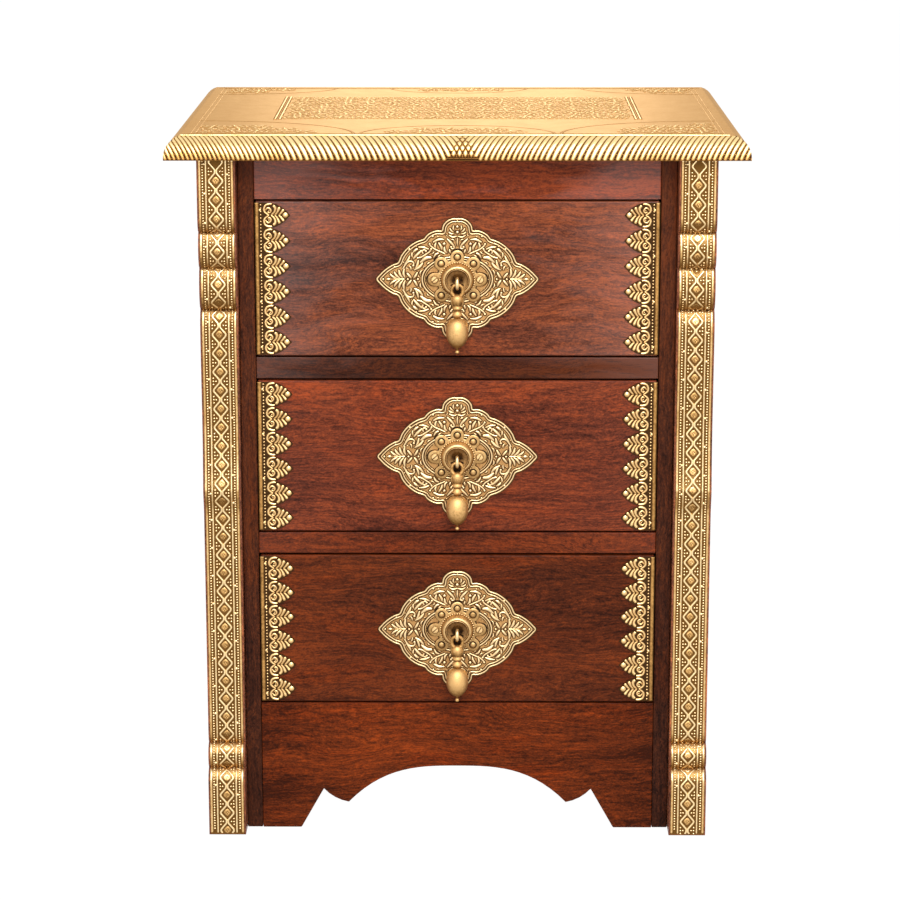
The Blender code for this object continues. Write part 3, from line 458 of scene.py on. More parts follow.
@dataclass(frozen=True)
class Brass(Finish):
    """Old brass, bright on what stands out and brown in what lies deep, with painted light on what faces up
    and painted shade on what faces down.

    Attributes:
        name: name of the material.
        ridge: colour of worn, raised metal.
        body: colour halfway up.
        foot: colour at the foot of what stands out.
        ground: colour of the ground.
        shade: colour of the painted shade on what faces down.
        lift: height added everywhere, for pieces without relief of their own.
        painted_facing_light: how much lighter what faces up and how much darker what faces down are
            painted.
        gloss: roughness of the raised metal.
        hammer: depth of the dents in metres.
        dents: how often the dents come per metre.
        dull: roughness of the ground.
        mottle: strength of the clouds and specks.
        edge: tint of what the metal mirrors at a flat angle.
    """

    name: str
    ridge: Colour = (0.95, 0.72, 0.38, 1.0)
    body: Colour = (0.58, 0.33, 0.11, 1.0)
    foot: Colour = (0.110, 0.047, 0.010, 1.0)
    ground: Colour = (0.130, 0.056, 0.012, 1.0)
    shade: Colour = (0.24, 0.108, 0.024, 1.0)
    lift: float = 0.0
    painted_facing_light: float = 0.25
    gloss: float = 0.30
    hammer: float = 0.00012
    dents: float = 230.0
    dull: float = 0.60
    mottle: float = 0.5
    edge: Colour = WHITE

    def paint(self, graph: Shading) -> dict[str, Any]:
        """Colour by height and by painted light and shade from which way the surface faces, with clouds,
        specks and dents.

        Args:
            graph: tree of the material.

        Returns:
            Inputs of the Principled node.
        """
        raised = graph.wire("ShaderNodeAttribute", {"attribute_name": RELIEF}, {}, "Fac")
        shelter = graph.wire("ShaderNodeAttribute", {"attribute_name": PAINTED_LIGHT_AND_SHADE}, {}, "Fac")
        place = graph.place()
        cloud = graph.noise(place, (42.0, 42.0, 42.0), 5.0, 0.3)
        speck = graph.noise(place, (520.0, 520.0, 520.0), 3.0)
        dent = graph.noise(place, (self.dents,) * 3, 2.0)
        # Painted light and shade: what faces up is raised towards the ridge colour, and what faces down is
        # lowered and mixed with the shade colour below.
        painted_facing_light = raised + self.lift - shelter * self.painted_facing_light
        level = (painted_facing_light + (cloud + speck - 1.0) * self.mottle).clamped()
        stops = [(0.03, self.ground), (0.16, self.foot), (0.50, self.body), (0.92, self.ridge)]
        clean = graph.ramp(level, stops)
        return {
            "Base Color": graph.mixed((shelter * (0.6 + cloud * 0.4)).clamped(), clean, self.shade),
            "Roughness": self.dull - level * (self.dull - self.gloss),
            "Metallic": 0.88 + level * 0.12,
            "Normal": graph.bump(dent, self.hammer),
            "Specular Tint": self.edge,
        }


@dataclass(frozen=True)
class Paper(Finish):
    """Pale studio floor that keeps shadows and reads as the white background.

    Attributes:
        name: name of the material.
        glow: share of plain white in what the camera and mirrors see.
        white: strength of that white.
    """

    name: str = "studio_floor"
    glow: float = 0.93
    white: float = 1.08

    def paint(self, graph: Shading) -> dict[str, Any]:
        """White paper with a faint tooth.

        Args:
            graph: tree of the material.

        Returns:
            Inputs of the Principled node.
        """
        tooth = graph.noise(graph.place(), (60.0, 60.0, 60.0), 2.0)
        tone = graph.mixed(tooth * 0.04, (0.92, 0.92, 0.92, 1.0), (0.80, 0.80, 0.80, 1.0))
        return {"Base Color": tone, "Roughness": 0.9, "Specular IOR Level": 0.0}

    def cover(self, graph: Shading, surface: Wire) -> Wire:
        """Plain white mixed in for rays that look at the background.

        Args:
            graph: tree of the material.
            surface: shader of the paper.

        Returns:
            The mixture.
        """
        white = graph.wire("ShaderNodeEmission", {}, {"Color": WHITE, "Strength": self.white})
        sockets = {0: background_rays(graph) * self.glow, 1: surface, 2: white}
        return graph.wire("ShaderNodeMixShader", {}, sockets)


def background_rays(graph: Shading) -> Wire:
    """Whether a ray looks at the background.

    Args:
        graph: tree that the Light Path node goes into.

    Returns:
        1 for camera, glossy and transmission rays, 0 for the rest.
    """
    path = graph.node("ShaderNodeLightPath", {}, {}).outputs
    seen = Wire(graph, path["Is Camera Ray"]) + Wire(graph, path["Is Glossy Ray"])
    return (seen + Wire(graph, path["Is Transmission Ray"])).clamped()


# Flat patterns


@dataclass
class LineWork:
    """Raised lines and dots of a pattern, drawn flat in millimetres.

    Attributes:
        places: every point drawn so far.
        edges: pairs of point numbers that a line joins.
        half_widths: half of a line's width at each point, or the radius of a dot.
        crowns: height of the relief as a share of the half width.
        dots: whether a point stands alone.
    """

    places: list[Point] = field(default_factory=list)
    edges: list[tuple[int, int]] = field(default_factory=list)
    half_widths: list[float] = field(default_factory=list)
    crowns: list[float] = field(default_factory=list)
    dots: list[bool] = field(default_factory=list)

    @classmethod
    def boss(cls, radius: float, crown: float, place: Point = (0.0, 0.0)) -> "LineWork":
        """Pattern of one dot."""
        return cls([place], [], [radius], [crown], [True])

    def line(
        self,
        points: Line,
        half_width: float | Sequence[float],
        crown: float,
        closed: bool = False,
    ) -> None:
        """Draw a line through points.

        Args:
            points: places on the line.
            half_width: half of its width, one for all or one per point.
            crown: height as a share of the half width.
            closed: whether the last point joins the first.
        """
        start = len(self.places)
        widths = [half_width] * len(points) if isinstance(half_width, (int, float)) else list(half_width)
        self.places += list(points)
        self.half_widths += widths
        self.crowns += [crown] * len(points)
        self.dots += [False] * len(points)
        self.edges += [(start + i, start + i + 1) for i in range(len(points) - 1)]
        if closed:
            self.edges.append((start + len(points) - 1, start))

    def dot(self, place: Point, radius: float, crown: float) -> None:
        """Set a single boss.

        Args:
            place: its centre.
            radius: its radius.
            crown: height as a share of the radius.
        """
        self.places.append(place)
        self.half_widths.append(radius)
        self.crowns.append(crown)
        self.dots.append(True)

    def add(
        self,
        other: "LineWork",
        across: float = 1.0,
        up: float = 1.0,
        shift: Point = (0.0, 0.0),
    ) -> None:
        """Copy another pattern in, scaled or mirrored, then shifted.

        Args:
            other: pattern to copy.
            across: factor of u, -1 to mirror it.
            up: factor of v, -1 to mirror it.
            shift: where its origin goes.
        """
        start = len(self.places)
        self.places += [(u * across + shift[0], v * up + shift[1]) for u, v in other.places]
        self.edges += [(a + start, b + start) for a, b in other.edges]
        self.half_widths += other.half_widths
        self.crowns += other.crowns
        self.dots += other.dots

    def add_quarters(self, quarter: "LineWork") -> None:
        """Copy the upper right quarter of a pattern into all four."""
        for across, up in ((-1.0, -1.0), (-1.0, 1.0), (1.0, -1.0), (1.0, 1.0)):
            self.add(quarter, across, up)

    def turned(self, angle: float) -> "LineWork":
        """Pattern turned about its origin.

        Args:
            angle: turn in radians.

        Returns:
            A turned copy.
        """
        sine, cosine = math.sin(angle), math.cos(angle)
        made = LineWork()
        made.add(self)
        made.places = [(u * cosine - v * sine, u * sine + v * cosine) for u, v in self.places]
        return made

    def outlined(self, margin: float, height: float) -> "LineWork":
        """Wider and nearly flat copy, which shows as a line round every stroke.

        Args:
            margin: width of that line.
            height: height of the copy.

        Returns:
            The copy.
        """
        made = LineWork()
        made.add(self)
        made.half_widths = [width + margin for width in self.half_widths]
        made.crowns = [height / width for width in made.half_widths]
        return made

    def mesh(self, name: str) -> Mesh:
        """Edges and loose points that the Geometry Nodes read.

        Args:
            name: name of the mesh.

        Returns:
            The line work in metres.
        """
        made = bpy.data.meshes.new(name)
        made.from_pydata([(u * MM, v * MM, 0.0) for u, v in self.places], self.edges, [])
        widths = made.attributes.new(HALF_WIDTH, "FLOAT", "POINT")
        widths.data.foreach_set("value", [w * MM for w in self.half_widths])
        made.attributes.new(CROWN, "FLOAT", "POINT").data.foreach_set("value", self.crowns)
        made.attributes.new(IS_DOT, "BOOLEAN", "POINT").data.foreach_set("value", self.dots)
        return made


@dataclass(frozen=True)
class Row:
    """Pattern repeated along a straight line.

    Attributes:
        motif: pattern to repeat.
        start: place of the first copy in millimetres.
        pitch: step from one copy to the next in millimetres.
        count: number of copies.
    """

    motif: LineWork
    start: Point
    pitch: Point
    count: int


@dataclass(frozen=True)
class Ends:
    """Where a pattern laid over a profile stops, as u limits that lean with the profile's depth.

    Attributes:
        low: lower limit at depth 0.
        low_lean: how much the lower limit grows per metre of depth.
        high: upper limit at depth 0.
        high_lean: how much the upper limit grows per metre of depth.
    """

    low: float = -1.0
    low_lean: float = 0.0
    high: float = 1.0
    high_lean: float = 0.0


class Press:
    """Presses flat line work into raised metal with Geometry Nodes."""

    def __init__(self) -> None:
        """Build the trees once."""
        self.helpers: list[Object] = []
        self.repeat = self._repeat_tree()
        self.ring = self._ring_tree()
        self.emboss = self._emboss_tree()
        self.wrap = self._wrap_tree()

    @staticmethod
    def _repeat_tree() -> Modelling:
        """Tree that sets copies of a motif along a line.

        Returns:
            The tree.
        """
        inputs = {"Motif": "Object", "Start": "Vector", "Pitch": "Vector", "Count": "Int"}
        tree = Modelling("repeat_motif", inputs)
        sockets = {
            "Count": tree.given("Count"),
            "Start Location": tree.given("Start"),
            "Offset": tree.given("Pitch"),
        }
        tree.close_with_copies(tree.wire("GeometryNodeMeshLine", {"mode": "OFFSET"}, sockets))
        return tree

    @staticmethod
    def _ring_tree() -> Modelling:
        """Tree that sets copies of a motif round a circle.

        Returns:
            The tree.
        """
        tree = Modelling("ring_of_motifs", {"Motif": "Object", "Radius": "Float", "Count": "Int"})
        sockets = {"Vertices": tree.given("Count"), "Radius": tree.given("Radius")}
        spots = tree.wire("GeometryNodeMeshCircle", {}, sockets)
        out = tree.wire("GeometryNodeInputPosition")
        turn = tree.wire("FunctionNodeAlignRotationToVector", {"axis": "X"}, {"Vector": out})
        tree.close_with_copies(spots, Rotation=turn)
        return tree

    @staticmethod
    def _emboss_tree() -> Modelling:
        """Line work swept into half-round ridges and bosses, with an optional ground sheet.

        Returns:
            The tree.
        """
        inputs = {
            "Ground": "Object",
            "Step": "Float",
            "Arc Points": "Int",
            "Boss Sides": "Int",
            "Height": "Float",
            "Material": "Material",
        }
        tree = Modelling("emboss", inputs)
        lines = tree.wire("GeometryNodeMeshToCurve", {}, {"Mesh": tree.given("Geometry")})
        smooth = tree.wire("GeometryNodeCurveSplineType", {"spline_type": "CATMULL_ROM"}, {"Curve": lines})
        sockets = {"Curve": smooth, "Length": tree.given("Step")}
        even = tree.wire("GeometryNodeResampleCurve", {"mode": "LENGTH"}, sockets)
        level = tree.wire("GeometryNodeSetCurveNormal", {"mode": "Z_UP"}, {"Curve": even})
        sockets = {"Resolution": tree.given("Arc Points"), "Radius": 1.0, "Sweep Angle": -math.pi}
        arc = tree.wire("GeometryNodeCurveArc", {"mode": "RADIUS"}, sockets)
        section = tree.wire("GeometryNodeSetSplineCyclic", {}, {"Geometry": arc, "Cyclic": True})
        sockets = {
            "Curve": level,
            "Profile Curve": section,
            "Scale": tree.attribute(HALF_WIDTH),
            "Fill Caps": True,
        }
        swept = tree.wire("GeometryNodeCurveToMesh", {}, sockets)
        x, y, z = tree.separated(tree.wire("GeometryNodeInputPosition"))
        crowned = tree.combined(x, y, z * tree.attribute(CROWN))
        ridges = tree.wire("GeometryNodeSetPosition", {}, {"Geometry": swept, "Position": crowned})
        sockets = {"Mesh": tree.given("Geometry"), "Selection": tree.attribute(IS_DOT, "BOOLEAN")}
        spots = tree.wire("GeometryNodeMeshToPoints", {}, sockets)
        sockets = {"Segments": tree.given("Boss Sides"), "Rings": 5, "Radius": 1.0}
        ball = tree.wire("GeometryNodeMeshUVSphere", {}, sockets)
        radius = tree.attribute(HALF_WIDTH)
        size = tree.combined(radius, radius, radius * tree.attribute(CROWN))
        sockets = {"Points": spots, "Instance": ball, "Scale": size}
        bosses = tree.wire("GeometryNodeInstanceOnPoints", {}, sockets)
        whole = tree.joined(ridges, bosses, tree.shape_of("Ground"))
        solid = tree.wire("GeometryNodeRealizeInstances", {}, {0: whole})
        height = tree.separated(tree.wire("GeometryNodeInputPosition"))[2] / tree.given("Height")
        settings = {"data_type": "FLOAT", "domain": "POINT"}
        sockets = {"Geometry": solid, "Name": RELIEF, "Value": height.clamped()}
        marked = tree.wire("GeometryNodeStoreNamedAttribute", settings, sockets)
        sockets = {"Geometry": marked, "Material": tree.given("Material")}
        tree.close(tree.wire("GeometryNodeSetMaterial", {}, sockets))
        return tree

    @staticmethod
    def _wrap_tree() -> Modelling:
        """Flat metal laid over a moulded profile: u along X, v up the profile, height outwards.

        Returns:
            The tree.
        """
        inputs = {
            "Profile": "Object",
            "Low": "Float",
            "Low Lean": "Float",
            "High": "Float",
            "High Lean": "Float",
        }
        tree = Modelling("lay_over_profile", inputs)
        path = tree.wire("GeometryNodeMeshToCurve", {}, {"Mesh": tree.shape_of("Profile")})
        u, v, height = tree.separated(tree.wire("GeometryNodeInputPosition"))
        node = tree.node("GeometryNodeSampleCurve", {"mode": "LENGTH"}, {"Curves": path, "Length": v})
        spot = Wire(tree, node.outputs["Position"])
        out = tree.vector("CROSS_PRODUCT", (1.0, 0.0, 0.0), Wire(tree, node.outputs["Tangent"]))
        normal = tree.wire("ShaderNodeVectorMath", {"operation": "NORMALIZE"}, {0: out})
        rise = tree.vector("MULTIPLY", normal, tree.combined(height, height, height))
        depth = tree.separated(spot)[1]
        low = tree.given("Low") + depth * tree.given("Low Lean")
        high = tree.given("High") + depth * tree.given("High Lean")
        held = u.maths("MINIMUM", u.maths("MAXIMUM", u, low), high)
        laid = tree.vector("ADD", tree.vector("ADD", spot, rise), tree.combined(held, 0.0, 0.0))
        sockets = {"Geometry": tree.given("Geometry"), "Position": laid}
        tree.close(tree.wire("GeometryNodeSetPosition", {}, sockets))
        return tree

    def hold(self, name: str, mesh: Mesh) -> Object:
        """Put a mesh on the bench while trees read it.

        Args:
            name: name of the helper object.
            mesh: its mesh.

        Returns:
            The helper object.
        """
        helper = bpy.data.objects.new(f"bench_{name}", mesh)
        bpy.context.scene.collection.objects.link(helper)
        self.helpers.append(helper)
        return helper

    def clear(self) -> None:
        """Take every helper off the bench."""
        for helper in self.helpers:
            mesh = helper.data
            bpy.data.objects.remove(helper)
            bpy.data.meshes.remove(mesh)
        self.helpers = []

    def strike(
        self,
        name: str,
        work: LineWork,
        finish: Finish,
        height: float,
        step: float,
        rows: Sequence[Row] = (),
        rings: Sequence[tuple[LineWork, float, int]] = (),
        ground: Mesh | None = None,
        profile: Line | None = None,
        ends: Ends = Ends(),
        arc_points: int = 5,
        boss_sides: int = 8,
    ) -> Mesh:
        """Press one pattern and take the result as a plain mesh.

        Args:
            name: name of the mesh.
            work: lines and dots that come once.
            finish: its material.
            height: height in metres at which the relief counts as fully raised.
            step: spacing of the points along the lines in metres.
            rows: patterns repeated along lines.
            rings: (pattern, radius, count) repeated round circles.
            ground: flat sheet that the pattern stands on.
            profile: (depth, height) pairs from the bottom up to lay the result over.
            ends: where a result laid over a profile stops.
            arc_points: points across a ridge.
            boss_sides: sides of a boss.

        Returns:
            The pressed metal.
        """
        target = self.hold(name, work.mesh(name))
        for index, row in enumerate(rows):
            motif = self.hold(f"{name}_row_{index}", row.motif.mesh("motif"))
            start = (row.start[0] * MM, row.start[1] * MM, 0.0)
            pitch = (row.pitch[0] * MM, row.pitch[1] * MM, 0.0)
            self.repeat.put_on(target, Motif=motif, Start=start, Pitch=pitch, Count=row.count)
        for index, (pattern, radius, count) in enumerate(rings):
            motif = self.hold(f"{name}_ring_{index}", pattern.mesh("motif"))
            self.ring.put_on(target, Motif=motif, Radius=radius * MM, Count=count)
        sheet = self.hold(f"{name}_ground", ground or bpy.data.meshes.new("no_ground"))
        self.emboss.put_on(
            target,
            Ground=sheet,
            Step=step,
            Arc_Points=arc_points,
            Boss_Sides=boss_sides,
            Height=height,
            Material=finish.build(),
        )
        if profile is not None:
            line = bpy.data.meshes.new("profile")
            steps = range(len(profile) - 1)
            line.from_pydata([(0.0, y, z) for y, z in profile], [(i, i + 1) for i in steps], [])
            path = self.hold(f"{name}_profile", line)
            self.wrap.put_on(
                target,
                Profile=path,
                Low=ends.low,
                Low_Lean=ends.low_lean,
                High=ends.high,
                High_Lean=ends.high_lean,
            )
        bpy.context.view_layer.update()
        seen = bpy.context.evaluated_depsgraph_get()
        made = bpy.data.meshes.new_from_object(target.evaluated_get(seen), depsgraph=seen)
        made.name = name
        self.clear()
        for label in (HALF_WIDTH, CROWN, IS_DOT):
            if label in made.attributes:
                made.attributes.remove(made.attributes[label])
        return settled(made)


# Shapes


def settled(mesh: Mesh, angle: float = 50.0) -> Mesh:
    """Turn every shell's faces outwards and shade it smooth between sharp edges.

    Args:
        mesh: closed shells.
        angle: degrees above which an edge stays sharp.

    Returns:
        The same mesh.
    """
    bm = bmesh.new()
    bm.from_mesh(mesh)
    bmesh.ops.recalc_face_normals(bm, faces=bm.faces)
    bm.to_mesh(mesh)
    bm.free()
    mesh.shade_smooth()
    mesh.set_sharp_from_angle(angle=math.radians(angle))
    return mesh


class Shaper:
    """Collects closed shapes, each vertex with its relief, into one mesh."""

    def __init__(self) -> None:
        """Start empty."""
        self.bm = bmesh.new()
        self.relief = self.bm.verts.layers.float.new(RELIEF)

    def vertex(self, place: Sequence[float], relief: float) -> BMVert:
        """Add one vertex.

        Args:
            place: where it is.
            relief: how raised it counts, 0 to 1.

        Returns:
            The vertex.
        """
        made = self.bm.verts.new(place)
        made[self.relief] = relief
        return made

    def loft(self, loops: list[list[BMVert]], closed: bool = False) -> None:
        """Join loops of equal length into a tube with flat ends.

        Args:
            loops: rings of vertices.
            closed: whether the last ring joins the first.
        """
        pairs = list(zip(loops, loops[1:]))
        if closed:
            pairs.append((loops[-1], loops[0]))
        for first, second in pairs:
            count = len(first)
            for i in range(count):
                self.bm.faces.new((first[i], first[(i + 1) % count], second[(i + 1) % count], second[i]))
        if not closed:
            self.bm.faces.new(loops[0])
            self.bm.faces.new(loops[-1])

    def turned(self, profile: Sequence[Triple], sides: int, place: Matrix) -> None:
        """Turn a profile of (radius, height, relief), with no zero radius, about Z."""
        self.stacked(oval(1.0, 1.0, sides), profile, place)

    def stacked(self, outline: Line, layers: Sequence[Triple], place: Matrix) -> None:
        """Stack scaled copies of an outline.

        Args:
            outline: closed outline.
            layers: (scale, height, relief) of each copy.
            place: where it goes.
        """
        loops = []
        for scale, height, relief in layers:
            spots = [place @ Vector((u * scale, v * scale, height)) for u, v in outline]
            loops.append([self.vertex(spot, relief) for spot in spots])
        self.loft(loops)

    def tube(
        self,
        route: Sequence[Vector],
        across: Vector,
        radii: Sequence[float],
        sides: int,
        closed: bool,
        relief: float,
    ) -> None:
        """Round bar along a route that lies in one plane.

        Args:
            route: centre line.
            across: direction square to the plane of the route.
            radii: radius of the bar at each place.
            sides: sides of the bar.
            closed: whether the bar ends where it starts.
            relief: how raised it counts.
        """
        loops = []
        count = len(route)
        for index, centre in enumerate(route):
            before = route[(index - 1) % count] if closed or index > 0 else centre
            after = route[(index + 1) % count] if closed or index < count - 1 else centre
            out = (after - before).normalized().cross(across)
            loop = []
            for side in range(sides):
                angle = 2 * math.pi * side / sides
                reach = out * math.cos(angle) + across * math.sin(angle)
                loop.append(self.vertex(centre + reach * radii[index], relief))
            loops.append(loop)
        self.loft(loops, closed)

    def finish(self, name: str, finish: Finish) -> Mesh:
        """Close the collection.

        Args:
            name: name of the mesh.
            finish: its material.

        Returns:
            The mesh.
        """
        mesh = bpy.data.meshes.new(name)
        self.bm.to_mesh(mesh)
        self.bm.free()
        mesh.materials.append(finish.build())
        return settled(mesh, 40.0)


def corners(node: str) -> np.ndarray:
    """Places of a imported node's vertices.

    Args:
        node: name of the node.

    Returns:
        One row per vertex.
    """
    mesh = bpy.data.objects[node].data
    flat = np.zeros(len(mesh.vertices) * 3)
    mesh.vertices.foreach_get("co", flat)
    return flat.reshape(-1, 3)


def front_profile(node: str, closest: float) -> list[Point]:
    """Front of a moulded node, level by level.

    Args:
        node: name of the node.
        closest: levels nearer than this count as one.

    Returns:
        (y, z) pairs from the bottom up.
    """
    places = corners(node)
    profile: list[Point] = []
    for z in sorted(set(np.round(places[:, 2], 6))):
        level = places[np.abs(places[:, 2] - z) < 1e-5]
        if not profile or z - profile[-1][1] > closest:
            profile.append((float(level[:, 1].min()), float(z)))
    return profile


def refined(profile: Line, step: float) -> list[Point]:
    """Profile with more points on its long stretches.

    Args:
        profile: pairs along the profile.
        step: longest stretch that is left.

    Returns:
        The same line with more points.
    """
    made = [profile[0]]
    for (u0, v0), (u1, v1) in zip(profile, profile[1:]):
        parts = max(1, math.ceil(math.dist((u0, v0), (u1, v1)) / step))
        shares = [part / parts for part in range(1, parts + 1)]
        made += [(u0 + (u1 - u0) * share, v0 + (v1 - v0) * share) for share in shares]
    return made


def smoothed(profile: Line, parts: int) -> list[Point]:
    """Profile bent smoothly through its points.

    Args:
        profile: pairs along the profile.
        parts: pieces that each stretch is cut into.

    Returns:
        The finer profile.
    """
    spots = [Vector(p) for p in (profile[0], *profile, profile[-1])]
    made = [tuple(spots[1])]
    for a, b, c, d in zip(spots, spots[1:], spots[2:], spots[3:]):
        for part in range(1, parts + 1):
            t = part / parts
            bend = (c - a) * t + (2 * a - 5 * b + 4 * c - d) * t**2 + (3 * b - a - 3 * c + d) * t**3
            made.append(tuple(b + bend / 2))
    return made


def flat_sheet(width: float, rise: float, columns: int, rows: int, finish: Finish) -> Mesh:
    """Closed thin sheet about u 0 from v 0 up, its face at height 0, ready to be laid over a profile.

    Args:
        width: width in millimetres.
        rise: height in millimetres.
        columns: cells across.
        rows: cells up.
        finish: its material.

    Returns:
        The sheet.
    """
    shaper = Shaper()
    across = [(i / columns - 0.5) * width * MM for i in range(columns + 1)]
    loops = []
    for row in range(rows + 1):
        v = rise * MM * row / rows
        spots = [(u, v, -SHEET_DEPTH) for u in across] + [(u, v, 0.0) for u in reversed(across)]
        loops.append([shaper.vertex(spot, 0.0) for spot in spots])
    shaper.loft(loops)
    return shaper.finish("flat_sheet", finish)


def length_of(profile: Line) -> float:
    """Length along a profile."""
    return sum(math.dist(first, second) for first, second in zip(profile, profile[1:]))


def oval(
    across: float,
    up: float,
    count: int,
    start: float = 0.0,
    sweep: float = 2 * math.pi,
) -> list[Point]:
    """Points on an oval about the origin.

    Args:
        across: half of its width.
        up: half of its height.
        count: number of points.
        start: angle of the first point.
        sweep: angle that the points cover.

    Returns:
        The points; a whole turn leaves out the repeated last one.
    """
    parts = count if sweep >= 2 * math.pi else count - 1
    angles = [start + sweep * i / parts for i in range(count)]
    return [(across * math.cos(a), up * math.sin(a)) for a in angles]


def mark_painted_light_and_shade(mesh: Mesh) -> None:
    """Mark what faces down with 1, for painted shade, and what faces up with -1, for painted light.

    Args:
        mesh: finished mesh, in place.
    """
    normals = np.zeros(len(mesh.vertices) * 3)
    mesh.vertex_normals.foreach_get("vector", normals)
    down = np.clip(-normals.reshape(-1, 3)[:, 2] * PAINTED_LIGHT_AND_SHADE_GAIN, -1.0, 1.0)
    mesh.attributes.new(PAINTED_LIGHT_AND_SHADE, "FLOAT", "POINT").data.foreach_set("value", down)


def add_piece(
    name: str,
    mesh: Mesh,
    body: str,
    place: Matrix = IN_PLACE,
    replaced: Sequence[str] = (),
) -> None:
    """Show a copy of a mesh as a finished piece on its body.

    Args:
        name: name of the piece.
        mesh: its mesh.
        body: body that it rides on.
        place: where the mesh goes.
        replaced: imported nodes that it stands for.
    """
    shown = mesh.copy()
    shown.transform(place)
    # Painted light and shade by which way each surface faces.
    mark_painted_light_and_shade(shown)
    piece = bpy.data.objects.new(name, shown)
    bpy.context.scene.collection.objects.link(piece)
    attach(piece, body)
    if replaced:
        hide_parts(*replaced)
    LOG.info("%s: %d faces on %s", name, len(shown.polygons), body)


def coat(node: str, finish: Finish, bevel: float) -> None:
    """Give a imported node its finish, with its edges eased.

    Args:
        node: name of the node.
        finish: material.
        bevel: width of the eased edges in metres, 0 for none.
    """
    shown = bpy.data.objects[node]
    for slot in shown.material_slots:
        slot.material = finish.build()
    weld = shown.modifiers.new("weld", "WELD")
    weld.merge_threshold = WELD_REACH
    if bevel > 0:
        ease = shown.modifiers.new("ease", "BEVEL")
        ease.width = bevel
        ease.segments = 2
        ease.limit_method = "ANGLE"
        ease.angle_limit = EASED_ANGLE
    LOG.info("%s: finished as %s", node, finish.name)


# Sub-assemblies


@dataclass(frozen=True)
class Carcass:
    """Rosewood case: posts, rails, panels, runners and the board of the top.

    Attributes:
        bevel: width of the eased edges in metres.
        plain: colour of the boards that have no tone of their own.
        figure_steps: how far the figure shifts from board to board and from side to side.
        boards: every board and the way that its grain runs.
        tones: (board, colour, trend, haze) of the boards whose colour holds painted light and shade, such
            as the dark stiles in the shade beside the posts and the lighter ends of the top rail and the
            upper divider.
    """

    bevel: float = 0.0008
    plain: Triple = (0.15, 0.042, 0.020)
    figure_steps: Point = (1.37, 0.61)
    boards: tuple[tuple[str, Grain], ...] = (
        ("top_board", Grain.ACROSS),
        ("apron", Grain.ACROSS),
        ("lower_divider", Grain.ACROSS),
        ("upper_divider", Grain.ACROSS),
        ("top_rail", Grain.ACROSS),
        ("front_post", Grain.UPRIGHT),
        ("rear_post", Grain.UPRIGHT),
        ("stile", Grain.UPRIGHT),
        ("side_top_rail", Grain.DEEP),
        ("side_bottom_rail", Grain.DEEP),
        ("side_panel", Grain.UPRIGHT),
        ("bottom_runner", Grain.DEEP),
        ("middle_runner", Grain.DEEP),
        ("top_runner", Grain.DEEP),
    )
    tones: tuple[tuple[str, Triple, Point, float], ...] = (
        ("top_rail", (0.158, 0.0312, 0.0116), (0.5, 3.0), 3.2),
        ("upper_divider", (0.050, 0.0123, 0.0049), (0.9, 13.0), 1.4),
        ("lower_divider", (0.118, 0.0235, 0.0078), (0.0, 0.0), 0.3),
        ("apron", (0.158, 0.0275, 0.0052), (-0.3, -9.0), 0.0),
        ("stile", (0.064, 0.0172, 0.0074), (0.75, 0.0), 0.0),
        ("front_post", (0.26, 0.090, 0.048), (0.0, 0.0), 0.0),
    )

    def dress(self) -> None:
        """Finish every board of the case."""
        shown = bpy.data.objects
        tones = {board: (tone, trend, haze) for board, tone, trend, haze in self.tones}
        for index, (board, grain) in enumerate(self.boards):
            nodes = [board] if board in shown else [f"{side}_{board}" for side in SIDES]
            tone, trend, haze = tones.get(board, (self.plain, (0.0, 0.0), 0.0))
            for number, node in enumerate(nodes):
                seed = index * self.figure_steps[0] + number * self.figure_steps[1]
                wood = Wood(f"rosewood_{node}", grain, seed, tone, trend=trend, haze=haze)
                coat(node, wood, self.bevel)
        coat("back_panel", PLY, 0.0)


